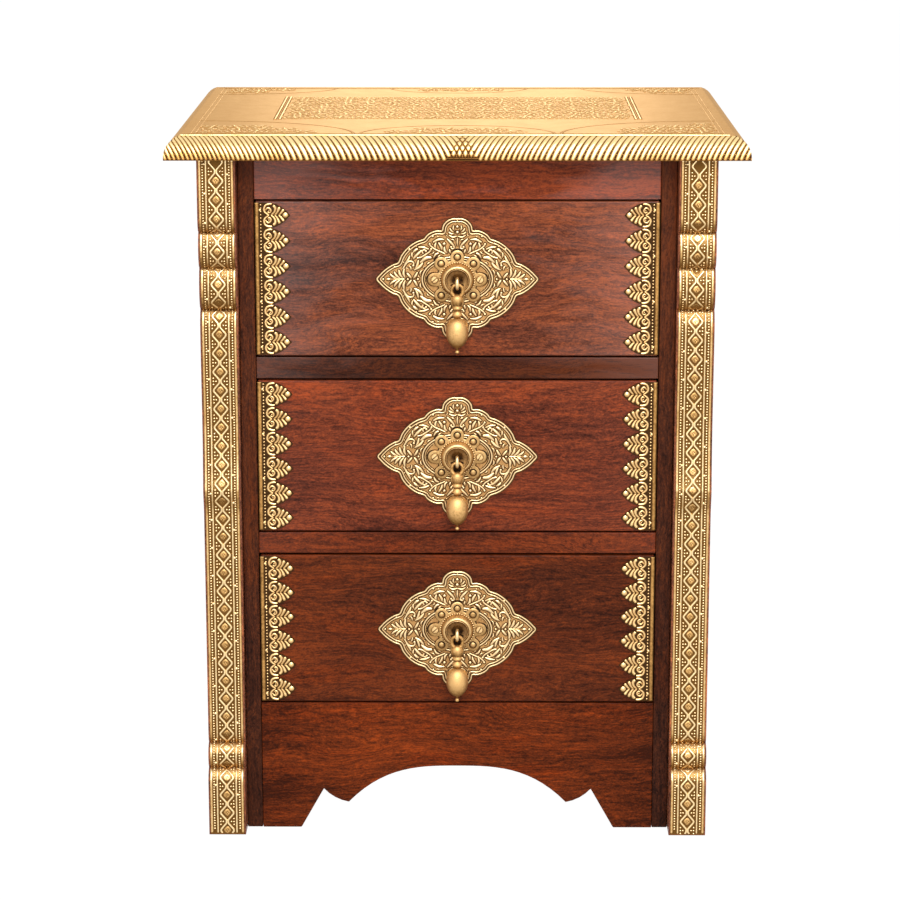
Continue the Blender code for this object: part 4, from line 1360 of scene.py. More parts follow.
@dataclass(frozen=True)
class TopDressing:
    """Brass of the top: roped edge, embossed face and nails, all in millimetres.

    Attributes:
        press: bench that presses the patterns.
        ribs: (pitch, count) of each stretch of the rope's ribs from the crossing outwards, left and right.
        rib_cover: half of a rib's width as a share of its pitch, at the bottom and the top.
        rib_slant: shift of a rib from the bottom to the top of the edge.
        rib_bow: how much the slant grows towards the top.
        rib_margins: free height under the ribs and over them.
        crossing: half of the stretch where the two slants cross, in steps of the ribs there.
        crossing_pitch: step of the ribs in that stretch.
        crossing_middle: how far right of the middle it lies.
        panel: (left, front, right, back) of the panel in the middle.
        border: (left, front, right, back) of the line near the edge.
        twin_lines: insets of the two lines of a frame.
        edge_line: half length, depth and step of the wavy line along the front edge.
        waviness: how far that line strays.
        cell: room of one flower, across and deep.
        arches: (middle, half width, half height, start, sweep) of the ovals in the margin.
        arch_fill: how much of an oval the flowers fill, as a share of its squared size.
    """

    press: Press
    ribs: tuple[tuple[tuple[float, int], ...], ...] = (
        ((5.29, 26), (4.22, 10), (3.88, 16)),
        ((4.69, 12), (5.45, 13), (4.80, 3), (4.22, 6), (4.56, 16)),
    )
    rib_cover: Point = (0.36, 0.43)
    rib_slant: float = 13.6
    rib_bow: float = 1.2
    rib_margins: Point = (0.3, 0.6)
    crossing: float = 2.5
    crossing_pitch: float = 5.0
    crossing_middle: float = 4.5
    panel: Box = (-163.0, -68.0, 163.0, 113.0)
    border: Box = (-229.0, -174.0, 229.0, 190.0)
    twin_lines: Point = (0.0, 4.0)
    edge_line: tuple[int, float, int] = (236, -186.0, 9)
    waviness: float = 0.4
    cell: Point = (19.6, 17.4)
    arches: tuple[tuple[Point, float, float, float, float], ...] = (
        ((0.0, -174.0), 84.0, 62.0, 0.0, math.pi),
        ((0.0, 190.0), 66.0, 44.0, math.pi, math.pi),
        ((-229.0, -174.0), 140.0, 96.0, 0.0, math.pi / 2),
        ((229.0, -174.0), 140.0, 96.0, math.pi / 2, math.pi / 2),
        ((229.0, 190.0), 110.0, 56.0, math.pi, math.pi / 2),
        ((-229.0, 190.0), 110.0, 56.0, math.pi * 1.5, math.pi / 2),
    )
    arch_fill: float = 0.52

    def build(self) -> None:
        """Lay the rope along the front edge and the pattern on the face."""
        coat("top_brass_sheet", TOP_BRASS, 0.0)
        low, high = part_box("top_brass_sheet")
        levels = front_profile("top_brass_sheet", 0.0002)
        outer = [p for index, p in enumerate(levels) if p[0] <= min(q[0] for q in levels[index:])]
        reach = high.x + low.y
        ends = Ends(-reach, 1.0, reach, -1.0)
        mesh = self._rope((high.x - low.x) / 2 / MM, smoothed(outer, 4), ends)
        add_piece("top_rope", mesh, "carcass")
        level = Matrix.Translation((0.0, 0.0, high.z))
        for label, mesh in zip(("pattern", "shadow"), self._face()):
            add_piece(f"top_face_{label}", mesh, "carcass", level)

    def _rope(self, half: float, profile: Line, ends: Ends) -> Mesh:
        """Slanting ribs that cross in the middle of the front edge.

        Args:
            half: half of the edge's length.
            profile: moulding of the edge.
            ends: where the ribs stop.

        Returns:
            The roped edge.
        """
        rise = length_of(profile) / MM
        reach = self.crossing * self.crossing_pitch
        work = LineWork()
        rows = []
        for way, stretches in zip((-1.0, 1.0), self.ribs):
            place = reach
            for pitch, count in stretches:
                start = way * (place + pitch / 2) + self.crossing_middle
                rib = self._rib(way, pitch, rise, self.rib_margins[0])
                rows.append(Row(rib, (start, 0.0), (way * pitch, 0.0), count))
                place += pitch * count
            for index in range(int(2 * self.crossing)):
                foot = reach - (index + 0.5) * self.crossing_pitch
                low = self._level((reach - foot) / 2, rise)
                rib = self._rib(way, self.crossing_pitch, rise, low)
                work.add(rib, shift=(way * foot + self.crossing_middle, 0.0))
        self._lozenges(work, rise)
        ground = flat_sheet(2 * half, rise, 40, 30, ROPE_BRASS)
        laid = {"ground": ground, "profile": profile, "ends": ends}
        return self.press.strike("rope", work, ROPE_BRASS, height=0.0007, step=0.0014, rows=rows, **laid)

    def _lean(self, level: float, rise: float) -> float:
        """Shift of a rib at a level above its foot."""
        return self.rib_slant * (level / rise) ** self.rib_bow

    def _level(self, lean: float, rise: float) -> float:
        """Level at which a rib has shifted that far."""
        return rise * (max(lean, 0.0) / self.rib_slant) ** (1 / self.rib_bow)

    def _rib(self, way: float, pitch: float, rise: float, low: float) -> LineWork:
        """One slanting rib whose foot stands at u 0.

        Args:
            way: side of the middle that it stands on.
            pitch: step from rib to rib.
            rise: height of the edge.
            low: height at which it starts.

        Returns:
            The rib.
        """
        made = LineWork()
        bottom, top = self.rib_cover
        heights = [low + (rise - self.rib_margins[1] - low) * step / 7 for step in range(8)]
        widths = [pitch * (bottom + (top - bottom) * v / rise) for v in heights]
        made.line([(way * self._lean(v, rise), v) for v in heights], widths, 0.30)
        return made

    def _lozenges(self, work: LineWork, rise: float) -> None:
        """Add the lozenges where the two slants cross.

        Args:
            work: pattern that they go into.
            rise: height of the edge.
        """
        half = self.crossing_pitch / 2
        count = int(2 * self.crossing)
        for first in range(count):
            for second in range(count - first):
                u = (second - first) * half + self.crossing_middle
                middle = (count - 1 - first - second) * half
                shares = [share for share in (-0.84, -0.42, 0.0, 0.42, 0.84) if middle + share * half > 0.1]
                spots = [(u, self._level(middle + share * half, rise)) for share in shares]
                widths = [(1.0 - abs(share)) * half - 0.25 for share in shares]
                work.line(spots, [max(width, 0.1) for width in widths], 0.28)

    def _face(self) -> tuple[Mesh, Mesh]:
        """Lines, flowers and parts of ovals on the face, with its wavy front edge.

        Returns:
            The pattern and the dark lines along its frames, a painted shadow, at height 0.
        """
        work = LineWork()
        left, front, right, back = self.panel
        for inset in self.twin_lines:
            for u in (left + inset, right - inset):
                work.line([(u, front), (u, 0.0), (u, back)], 0.9, 0.6)
        for middle, across, up, start, sweep in self.arches:
            arch = LineWork()
            arch.line(oval(across, up, 13, start, sweep), 0.6, 0.4)
            work.add(arch, shift=middle)
        wave = random.Random(7)
        reach, depth, step = self.edge_line
        spots = range(-reach, reach + 1, step)
        work.line([(u, depth + wave.uniform(-self.waviness, self.waviness)) for u in spots], 1.2, 1.0)
        shadow = self.press.strike(
            "top_shadow", work.outlined(0.8, 0.08), TOP_SHADOW, height=0.0007, step=0.0024, arc_points=3
        )
        for inset in self.twin_lines:
            work.line(self._frame(self.border, inset), 0.6, 0.4, closed=True)
        bed = self._inside(self.panel, 8.0)
        left, front, right, back = bed
        work.add(self._thicket(random.Random(23), bed))
        bead, bead_pitch = LineWork.boss(1.3, 0.6), 3.8
        beads = int((right - left) / bead_pitch)
        rows = [Row(bead, (left, v), (bead_pitch, 0.0), beads) for v in (front - 1.5, back + 1.5)]
        work.add(self._thicket(random.Random(31), self._inside(self.border, 7.0), self._in_arch))
        rows.append(Row(LineWork.boss(2.0, 0.5), (-reach, depth + 1.5), (84.0, 0.0), 6))
        pattern = self.press.strike(
            "top_face", work, TOP_RELIEF, height=0.0007, step=0.0024, rows=rows, arc_points=4, boss_sides=6
        )
        return pattern, shadow

    @staticmethod
    def _inside(box: Box, inset: float) -> Box:
        """Box drawn in on all four sides."""
        left, front, right, back = box
        return left + inset, front + inset, right - inset, back - inset

    def _frame(self, box: Box, inset: float) -> list[Point]:
        """Rectangle with enough points to keep its corners.

        Args:
            box: left, front, right and back.
            inset: how far inside it lies.

        Returns:
            Points round it.
        """
        left, front, right, back = self._inside(box, inset)
        spots = [(left, front), (right, front), (right, back), (left, back)]
        made = []
        for (u0, v0), (u1, v1) in zip(spots, spots[1:] + spots[:1]):
            for share in (0.0, 0.01, 0.25, 0.5, 0.75, 0.99):
                made.append((u0 + (u1 - u0) * share, v0 + (v1 - v0) * share))
        return made

    def _thicket(
        self,
        chance: random.Random,
        box: Box,
        inside: Callable[[float, float], bool] = lambda u, v: True,
    ) -> LineWork:
        """Flowers in staggered rows, close together.

        Args:
            chance: source of their turns.
            box: left, front, right and back of the field that they fill.
            inside: tells whether a place is to be filled.

        Returns:
            The flowers.
        """
        made = LineWork()
        left, front, right, back = box
        columns, rows = int((right - left) / self.cell[0]), int((back - front) / self.cell[1])
        for cell in range(columns * rows):
            column, row = cell % columns, cell // columns
            u = left + (right - left) * (column + 0.4 + 0.2 * (row % 2)) / columns
            v = front + (back - front) * (row + 0.5) / rows
            if inside(u, v):
                made.add(self._flower().turned(chance.uniform(0.0, 2 * math.pi)), shift=(u, v))
        return made

    @staticmethod
    def _flower() -> LineWork:
        """Six petals round a berry, with curled leaves and berries outside them.

        Returns:
            The flower round the origin.
        """
        petal = LineWork()
        petal.line([(2.7, 0.0), (5.2, 0.6), (8.0, 0.0)], [0.595, 1.435249, 1.02], 0.5)
        curl = LineWork()
        curl.line([(9.2, -3.8), (11.8, 0.3), (9.8, 4.0)], [0.4725, 1.139756, 0.675], 0.5)
        made = LineWork()
        made.dot((0.0, 0.0), 1.9, 0.5)
        for step in range(6):
            angle = math.pi / 3 * step
            made.add(petal.turned(angle))
            if step % 2:
                made.add(curl.turned(angle))
            else:
                made.dot((10.7 * math.cos(angle), 10.7 * math.sin(angle)), 1.35, 0.5)
        return made

    def _in_arch(self, u: float, v: float) -> bool:
        """Whether a place lies inside one of the ovals of the margin."""
        for (u0, v0), across, up, _, _ in self.arches:
            if ((u - u0) / across) ** 2 + ((v - v0) / up) ** 2 < self.arch_fill:
                return True
        return False


@dataclass(frozen=True)
class PostStrips:
    """Embossed brass strips down the front posts, in millimetres.

    Attributes:
        press: bench that presses the patterns.
        half_width: half of the strip's width.
        pitches: step from diamond to diamond, left and right.
        bead_column: distance of the bead columns from the middle.
        bead_pitch: step from bead to bead.
        rail: distance of the raised lines from the middle.
        edge_line: distance of the flat lines at the edges from the middle.
        first_necks: distance of the first neck below the top, left and right.
        first_nails: distance of the first nail below the top, left and right.
        nail_pitch: step from nail to nail.
        sink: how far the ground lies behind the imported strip's front.
    """

    press: Press
    half_width: float = 15.0
    pitches: Point = (16.61, 16.72)
    bead_column: float = 11.4
    bead_pitch: float = 2.45
    rail: float = 8.5
    edge_line: float = 13.9
    first_necks: Point = (-6.15, -2.49)
    first_nails: Point = (4.0, 13.0)
    nail_pitch: float = 25.5
    sink: float = 0.35

    def build(self) -> None:
        """Press each strip and put it on its post."""
        profile = refined(front_profile("left_post_brass", 0.0001), 0.005)
        profile = [(y + self.sink * MM, z) for y, z in profile]
        for side, neck, pitch in zip(SIDES, self.first_necks, self.pitches):
            mesh = self._pressed(profile, neck, pitch)
            low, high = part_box(f"{side}_post_brass")
            middle = Matrix.Translation(((low.x + high.x) / 2, 0.0, 0.0))
            add_piece(f"{side}_post_strip", mesh, "carcass", middle, [f"{side}_post_brass"])

    def _pressed(self, profile: Line, neck: float, pitch: float) -> Mesh:
        """One strip laid over the post's profile.

        Args:
            profile: front of the post from the bottom up.
            neck: distance of the first neck below the top.
            pitch: step from diamond to diamond.

        Returns:
            The strip about x 0.
        """
        rise = length_of(profile) / MM
        top = rise - neck
        count = int(top / pitch) + 1
        beads = int((rise - 3.0) / self.bead_pitch)
        bead, nail = LineWork.boss(1.0, 0.65), LineWork.boss(1.45, 0.8)
        hidden = math.ceil(max(0.0, -neck) / pitch)
        rows = [Row(self._motif(pitch), (0.0, top - hidden * pitch), (0.0, -pitch), count - hidden)]
        work = LineWork()
        for way, drop in zip((-1.0, 1.0), self.first_nails):
            work.line(self._strand(way, top, rise, pitch, count), 1.0, 0.8)
            work.line([(way * self.rail, 1.0), (way * self.rail, rise - 1.0)], 0.78, 0.95)
            work.line([(way * self.edge_line, 1.0), (way * self.edge_line, rise - 1.0)], 1.1, 0.42)
            rows.append(Row(bead, (way * self.bead_column, rise - 1.8), (0.0, -self.bead_pitch), beads))
            highest = rise - drop - max(neck, 0.0)
            nails = int(highest / self.nail_pitch)
            rows.append(Row(nail, (way * (self.rail + 1.3), highest), (0.0, -self.nail_pitch), nails))
        ground = flat_sheet(2 * self.half_width, rise, 1, int(rise / 1.2), SHEET_BRASS)
        laid = {"ground": ground, "profile": profile}
        return self.press.strike(
            "post_strip", work, SHEET_BRASS, height=0.0008, step=0.0011, rows=rows, **laid
        )

    @staticmethod
    def _motif(pitch: float) -> LineWork:
        """Lozenge and dots of one step of the chain, from a neck to the next one below.

        Args:
            pitch: step from diamond to diamond.

        Returns:
            The motif, its neck at the origin.
        """
        motif = LineWork()
        for way in (-1.0, 1.0):
            for u, v in ((5.9, -2.8), (5.9, 0.0), (5.9, 2.8), (3.7, 0.0)):
                motif.dot((way * u, v), 1.0, 0.65)
        bends = [(2.2, 0.0), (0.0, 2.6), (-2.2, 0.0), (0.0, -2.6), (2.2, 0.0)]
        spots = [(u, v - pitch / 2) for u, v in refined(bends, 0.9)]
        motif.line(spots[:-1], 1.35, 0.21, closed=True)
        motif.dot((0.0, -pitch / 2), 1.2, 0.23)
        return motif

    @staticmethod
    def _strand(way: float, top: float, rise: float, pitch: float, count: int) -> list[Point]:
        """One of the two strands that wind round the lozenges.

        Args:
            way: side that it starts on.
            top: height of the first neck.
            rise: height of the strip.
            pitch: step from diamond to diamond.
            count: number of lozenges.

        Returns:
            Points down the strand, inside the strip.
        """
        half = pitch / 2
        step = ((0.75, -1.5), (5.7, 0.9 - half), (5.7, -0.9 - half), (0.75, 1.5 - pitch))
        bends = [(way * u, top - index * pitch + v) for index in range(count) for u, v in step]
        return [(u, v) for u, v in refined(bends, 1.1) if 0.5 < v < rise - 0.5]


@dataclass(frozen=True)
class DrawerBox:
    """Wood of one drawer.

    Attributes:
        name: name of the drawer.
        seed: shifts the figure of its front.
        tone: colour of its front.
        trend: how much lighter its front gets to the right and towards its ends.
        haze: strength of the waxy bloom near its ends.
        lining: colour of its sides and back.
        bevel: width of the eased edges in metres.
    """

    name: str
    seed: float
    tone: Triple
    trend: Point
    haze: float
    lining: Triple = (0.40, 0.225, 0.125)
    bevel: float = 0.0005

    def dress(self) -> None:
        """Finish the front, the sides, the back and the floor."""
        front = f"{self.name}_drawer_front"
        look = {"trend": self.trend, "haze": self.haze}
        coat(front, Wood(f"rosewood_{front}", Grain.ACROSS, self.seed, self.tone, **look), self.bevel)
        for part in ("left_side", "right_side", "back"):
            node = f"{self.name}_drawer_{part}"
            grain = Grain.ACROSS if part == "back" else Grain.DEEP
            wood = Wood(f"lining_{node}", grain, self.seed + len(part), self.lining, 0.6, 0.2)
            coat(node, wood, self.bevel)
        coat(f"{self.name}_drawer_floor", FLOOR_PLY, 0.0)


@dataclass(frozen=True)
class DrawerLace:
    """Brass lace on both ends of a drawer front, in millimetres from the end of the front.

    Attributes:
        press: bench that presses the patterns.
        leaves: number of palmettes.
        band: distance of the flat band from the end.
        nail_line: distance of the nails from the end.
        bead_line: distance of the beads from the end.
        bead_pitch: step from bead to bead.
    """

    press: Press
    leaves: int = 6
    band: float = 1.9
    nail_line: float = 4.6
    bead_line: float = 5.3
    bead_pitch: float = 2.88

    def build(self) -> None:
        """Press the lace and put it on every drawer."""
        low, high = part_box("bottom_drawer_left_lace")
        rise = (high.z - low.z) / MM
        pitch = rise / self.leaves
        for side, way in zip(SIDES, (1.0, -1.0)):
            mesh = self._pressed(side, way, rise, pitch)
            for name in DRAWERS:
                node = f"{name}_drawer_{side}_lace"
                coat(node, GROUND_BRASS, 0.0)
                low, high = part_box(node)
                end = low.x if side == "left" else high.x
                place = Matrix.Translation((end, low.y, low.z)) @ FACING
                add_piece(f"{name}_{side}_lace_pattern", mesh, f"{name}_drawer", place)

    def _pressed(self, side: str, way: float, rise: float, pitch: float) -> Mesh:
        """Lace of one end, flat.

        Args:
            side: which end.
            way: 1 for the left end and -1 for the right one.
            rise: height of the lace.
            pitch: step from palmette to palmette.

        Returns:
            The pattern at height 0.
        """
        palmette = LineWork()
        palmette.add(self._palmette(), across=way)
        bead = LineWork.boss(0.95, 0.85, (way * self.bead_line, 0.0))
        nail = LineWork.boss(1.6, 0.6, (way * self.nail_line, 0.0))
        beads = int(rise / self.bead_pitch)
        start = (rise - (beads - 1) * self.bead_pitch) / 2
        rows = [
            Row(palmette, (0.0, pitch / 2), (0.0, pitch), self.leaves),
            Row(bead, (0.0, start), (0.0, self.bead_pitch), beads),
            Row(nail, (0.0, rise * 0.05), (0.0, rise * 0.30), 4),
        ]
        work = LineWork()
        work.line([(way * self.band, level) for level in (0.3, rise / 2, rise - 0.3)], 1.7, 0.22)
        return self.press.strike(f"lace_{side}", work, LACE_BRASS, height=0.0009, step=0.0009, rows=rows)

    @staticmethod
    def _palmette() -> LineWork:
        """One palmette that points along +u from the band, its middle at v 0.

        Returns:
            The palmette.
        """
        half = LineWork()
        lobe = [(12.4, 0.0), (8.7, 2.9), (8.2, 5.9), (9.6, 8.8), (12.9, 9.9), (15.0, 9.7)]
        half.line(lobe, [0.9, 1.1, 1.15, 1.15, 1.15, 0.9], 0.75)
        volute = [(9.2, 4.0), (11.4, 6.5), (13.7, 5.4), (14.1, 3.2), (12.4, 2.05), (11.4, 3.2)]
        half.line(volute, [0.7, 1.0, 1.0, 0.95, 0.9, 0.8], 0.8)
        half.dot((12.5, 4.2), 0.8, 0.9)
        arms = (
            ([(14.3, 0.0), (17.2, 2.9), (17.9, 6.1), (16.8, 7.9)], [0.9, 1.15, 1.45, 1.6], 1.6),
            ([(17.6, 0.0), (19.9, 3.0), (21.2, 6.2)], [0.9, 1.2, 1.6], 1.55),
            ([(21.0, 0.0), (23.3, 2.4), (24.6, 4.3)], [0.9, 1.2, 1.5], 1.5),
        )
        for spots, widths, tip in arms:
            half.line(spots, widths, 0.65)
            half.dot(spots[-1], tip, 0.65)
        whole = LineWork()
        whole.add(half)
        whole.add(half, up=-1.0)
        whole.dot((26.6, 0.0), 2.6, 0.42)
        return whole


@dataclass(frozen=True)
class PullPlate:
    """Embossed back plate of a pull, in millimetres from its middle.

    Attributes:
        press: bench that presses the patterns.
        ring: half width and half height of the oval round the rosette.
        rim_lines: (inset, half width) of the lines along the outline.
        rosette: distance of the rosette's petals from the middle and their radius.
        outline: width and height of the dark line round every stroke, a painted shadow.
        side_dots: (distance, radius, crown) of the dots left and right of the middle.
        crown_dots: the same above and below it.
        stipples: number of specks inside the ring.
        gap: least room between the small leaves and what is there.
        small_leaves: (length, half width, tries) of the small leaves.
    """

    press: Press
    ring: Point = (30.4, 19.8)
    rim_lines: tuple[Point, ...] = ((0.75, 0.75), (3.1, 0.65))
    rosette: Point = (19.7, 6.0)
    outline: Point = (0.70, 0.10)
    side_dots: tuple[Triple, ...] = ((64.2, 1.25, 0.7), (34.2, 1.2, 0.7), (42.9, 1.2, 0.7))
    crown_dots: tuple[Triple, ...] = ((50.6, 1.25, 0.7), (46.0, 1.5, 0.6), (41.2, 1.6, 0.7))
    stipples: int = 240
    gap: float = 0.32
    small_leaves: tuple[tuple[float, float, int], ...] = (
        (4.6, 0.72, 900),
        (3.4, 0.64, 1300),
        (2.2, 0.56, 1700),
    )

    def build(self) -> None:
        """Press the plate's pattern and put it on every drawer."""
        low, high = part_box("bottom_pull_plate")
        middle = (low + high) / 2
        meshes = self._pressed(self._outline("bottom_pull_plate", middle))
        for name in DRAWERS:
            node = f"{name}_pull_plate"
            coat(node, PLATE_GROUND, 0.0003)
            low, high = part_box(node)
            middle = (low + high) / 2
            place = Matrix.Translation((middle.x, low.y, middle.z)) @ FACING
            for label, mesh in zip(("pattern", "shadow"), meshes):
                add_piece(f"{name}_plate_{label}", mesh, f"{name}_drawer", place)

    @staticmethod
    def _outline(node: str, middle: Vector) -> list[Point]:
        """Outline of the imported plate, sorted round its middle.

        Args:
            node: name of the plate.
            middle: its middle.

        Returns:
            Points of the outline in millimetres.
        """
        places = corners(node)
        front = places[np.abs(places[:, 1] - places[:, 1].min()) < 1e-5]
        flat = {(round((p[0] - middle.x) / MM, 2), round((p[2] - middle.z) / MM, 2)) for p in front}
        rim = [spot for spot in flat if math.hypot(*spot) > 12.0]
        return sorted(rim, key=lambda spot: math.atan2(spot[1], spot[0]))

    @staticmethod
    def _inset(outline: Line, depth: float) -> list[Point]:
        """Outline moved inwards.

        Args:
            outline: closed outline, anticlockwise.
            depth: how far.

        Returns:
            The inner outline.
        """
        made = []
        count = len(outline)
        for index, (u, v) in enumerate(outline):
            before = Vector(outline[index - 1])
            after = Vector(outline[(index + 1) % count])
            here = Vector((u, v))
            first = (here - before).normalized()
            second = (after - here).normalized()
            out = Vector((-(first.y + second.y), first.x + second.x)).normalized()
            lean = max(0.6, out.dot(Vector((-first.y, first.x))))
            made.append(tuple(here + out * depth / lean))
        return made

    def _pressed(self, outline: Line) -> tuple[Mesh, Mesh]:
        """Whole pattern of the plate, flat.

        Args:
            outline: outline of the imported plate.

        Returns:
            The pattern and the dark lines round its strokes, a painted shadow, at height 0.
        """
        work = LineWork()
        for inset, half_width in self.rim_lines:
            work.line(self._inset(outline, inset), half_width, 0.9, closed=True)
        across, up = self.ring
        work.line(oval(across, up, 40), 0.8, 0.9, closed=True)
        work.line(oval(across - 2.1, up - 2.0, 40), 0.5, 0.9, closed=True)
        work.add_quarters(self._quarter())
        for way in (-1.0, 1.0):
            for at, radius, crown in self.side_dots:
                work.dot((way * at, 0.0), radius, crown)
            work.line([(way * at, 0.0) for at in (57.6, 59.6, 61.8)], [0.5, 1.4, 0.5], 0.6)
            work.line([(way * at, 0.0) for at in (46.0, 51.0, 56.0)], [0.9, 0.7, 0.5], 0.7)
            for at, radius, crown in self.crown_dots:
                work.dot((0.0, way * at), radius, crown)
            work.line([(0.0, way * at) for at in (36.4, 33.0, 28.6)], [0.4, 0.8, 0.4], 0.9)
        work.add_quarters(self._small_leaves(work, self._inset(outline, 5.0)))
        shadow = work.outlined(*self.outline)
        # Dark discs under the petals and the rosette's middle: painted shadow.
        orbit, petal = self.rosette
        for spot in [(0.0, 0.0), *oval(orbit, orbit, 8)]:
            radius = petal + 0.9 if spot[0] or spot[1] else orbit - 1.0
            shadow.dot(spot, radius, 2 * self.outline[1] / radius)
        stipple = random.Random(11)
        for _ in range(self.stipples):
            angle = stipple.uniform(0.0, 2 * math.pi)
            share = math.sqrt(stipple.uniform(0.30, 0.98))
            spot = ((across - 3.0) * share * math.cos(angle), (up - 2.9) * share * math.sin(angle))
            work.dot(spot, stipple.uniform(0.35, 0.6), 0.6)
        strike = self.press.strike
        pattern = strike("plate_pattern", work, PLATE_BRASS, height=0.0007, step=0.0009, boss_sides=6)
        dark = strike("plate_shadow", shadow, PLATE_SHADOW, height=0.0007, step=0.0012, boss_sides=12)
        return pattern, dark

    def _small_leaves(self, work: LineWork, rim: Line) -> LineWork:
        """Little curled leaves in the free room of the upper right quarter.

        Args:
            work: strokes that are there.
            rim: inside of the border.

        Returns:
            The leaves.
        """
        chance = random.Random(19)
        taken = list(zip(work.places, work.half_widths))
        for first, second in work.edges:
            spots = refined([work.places[first], work.places[second]], 0.8)
            width = (work.half_widths[first] + work.half_widths[second]) / 2
            taken += [(spot, width) for spot in spots]
        taken = [(spot, width) for spot, width in taken if spot[0] > -3.0 and spot[1] > -3.0]
        made = LineWork()
        bows = [(at, 1 - 4 * at * at) for at in (-0.5, -0.2, 0.15, 0.5)]
        for length, width, tries in self.small_leaves:
            for _ in range(tries):
                middle = Vector((chance.uniform(1.2, 62.0), chance.uniform(1.2, 46.0)))
                flow = math.atan2(middle.x, -middle.y) + chance.choice((-0.9, 0.0, 0.9))
                flow += chance.uniform(-0.4, 0.4)
                ahead = Vector((math.cos(flow), math.sin(flow)))
                side = Vector((-ahead.y, ahead.x)) * chance.choice((-0.18, 0.18)) * length
                leaf = [tuple(middle + ahead * length * at + side * bow) for at, bow in bows]
                if all(self._is_free(spot, width, taken, rim) for spot in leaf):
                    made.line(leaf, [width * 0.6, width, width * 1.1, width * 0.5], 0.95)
                    taken += [(spot, width) for spot in leaf]
        return made

    def _is_free(
        self,
        spot: Point,
        width: float,
        taken: Sequence[tuple[Point, float]],
        rim: Line,
    ) -> bool:
        """Whether a stroke may pass a place between the ring and the border.

        Args:
            spot: place on the stroke.
            width: half of its width.
            taken: places and half widths of what is there.
            rim: inside of the border, anticlockwise.

        Returns:
            True if there is room.
        """
        u, v = spot
        across, up = self.ring
        if min(u, v) < width or (u / (across + 1.6)) ** 2 + (v / (up + 1.6)) ** 2 < 1.0:
            return False
        inside = False
        for (u0, v0), (u1, v1) in zip(rim, [*rim[1:], rim[0]]):
            if (v0 > v) != (v1 > v) and u < u0 + (u1 - u0) * (v - v0) / (v1 - v0):
                inside = not inside
        return inside and all(math.dist(spot, other) > width + half + self.gap for other, half in taken)

    @staticmethod
    def _quarter() -> LineWork:
        """Pins, leaves and scrolls of the upper right quarter, between the ring and the border.

        Returns:
            The quarter.
        """
        made = LineWork()
        for pin in ((21.3, 37.6), (41.5, 26.2), (54.2, 10.7)):
            made.dot(pin, 1.25, 0.7)
        leaves = (
            ([(45.2, 1.2), (46.6, 4.8), (46.2, 8.8)], 1.0),
            ([(47.2, 1.0), (49.6, 4.0), (50.6, 7.8)], 1.0),
            ([(49.8, 0.9), (52.6, 3.0), (54.6, 6.2)], 1.0),
            ([(52.8, 0.8), (55.8, 2.2), (58.2, 4.4)], 0.95),
            ([(40.0, 0.9), (41.4, 2.8), (43.4, 5.2)], 1.0),
            ([(37.8, 0.9), (36.2, 3.0), (34.8, 5.8)], 1.0),
            ([(41.2, 20.4), (42.6, 17.0), (45.4, 12.8)], 1.0),
            ([(37.2, 8.2), (33.0, 10.6), (30.2, 14.0)], 1.15),
            ([(36.2, 9.4), (34.6, 12.6), (33.8, 16.4)], 0.95),
            ([(31.6, 15.0), (27.2, 18.6), (23.2, 19.0)], 1.65),
            ([(37.9, 18.0), (34.9, 21.5), (31.2, 25.0)], 1.2),
            ([(38.8, 18.8), (39.4, 21.0), (39.2, 23.2)], 0.8),
            ([(33.4, 28.2), (29.1, 27.9), (25.2, 26.4)], 0.95),
            ([(34.4, 26.6), (36.2, 25.6), (38.0, 23.8)], 1.1),
            ([(18.6, 27.0), (19.4, 29.2), (18.6, 31.6)], 0.95),
            ([(13.4, 25.6), (14.0, 28.6), (16.0, 31.8)], 1.0),
            ([(9.0, 23.0), (10.9, 25.0), (11.2, 28.0)], 0.95),
            ([(5.6, 22.6), (6.4, 24.2), (6.8, 26.0)], 0.8),
            ([(20.6, 18.6), (18.8, 21.8), (16.6, 22.8)], 0.95),
            ([(11.6, 34.8), (16.4, 34.7), (20.6, 32.6)], 1.1),
            ([(8.8, 35.4), (5.8, 32.4), (3.2, 29.4)], 1.05),
            ([(2.6, 42.6), (3.6, 44.4), (3.4, 46.6)], 0.75),
            ([(3.2, 41.2), (5.2, 42.4), (6.4, 44.4)], 0.75),
            ([(3.2, 39.8), (5.4, 39.8), (7.4, 41.2)], 0.75),
            ([(0.3, 37.8), (3.8, 36.8), (7.0, 38.4)], 0.75),
        )
        for points, half_width in leaves:
            widths = [half_width * share for share in (0.65, 1.2, 0.85)]
            made.line(points, widths, 0.75)
            for end in (0, -1):
                made.dot(points[end], widths[end], 0.75)
        scrolls = (
            [(47.2, 8.9), (45.6, 11.8), (43.2, 14.8), (40.2, 15.8), (37.8, 14.4), (38.2, 12.0)],
            [(34.8, 18.6), (31.5, 19.3), (27.7, 21.6), (24.0, 24.1), (22.6, 26.4)],
            [(10.8, 22.4), (15.3, 24.4), (19.6, 26.4), (22.6, 28.7), (24.0, 30.8)],
            [(29.6, 22.4), (30.4, 24.6), (28.6, 26.0), (27.2, 24.6)],
            [(3.4, 29.4), (2.6, 27.4), (4.6, 26.6), (5.4, 28.2)],
        )
        for points in scrolls:
            made.line(points, 0.85, 0.85)
            made.dot(points[-1], 1.25, 0.7)
        for spot, radius in (((11.4, 31.0), 1.6), ((35.6, 28.6), 0.8), ((46.6, 14.8), 0.8)):
            made.dot(spot, radius, 0.55)
        return made


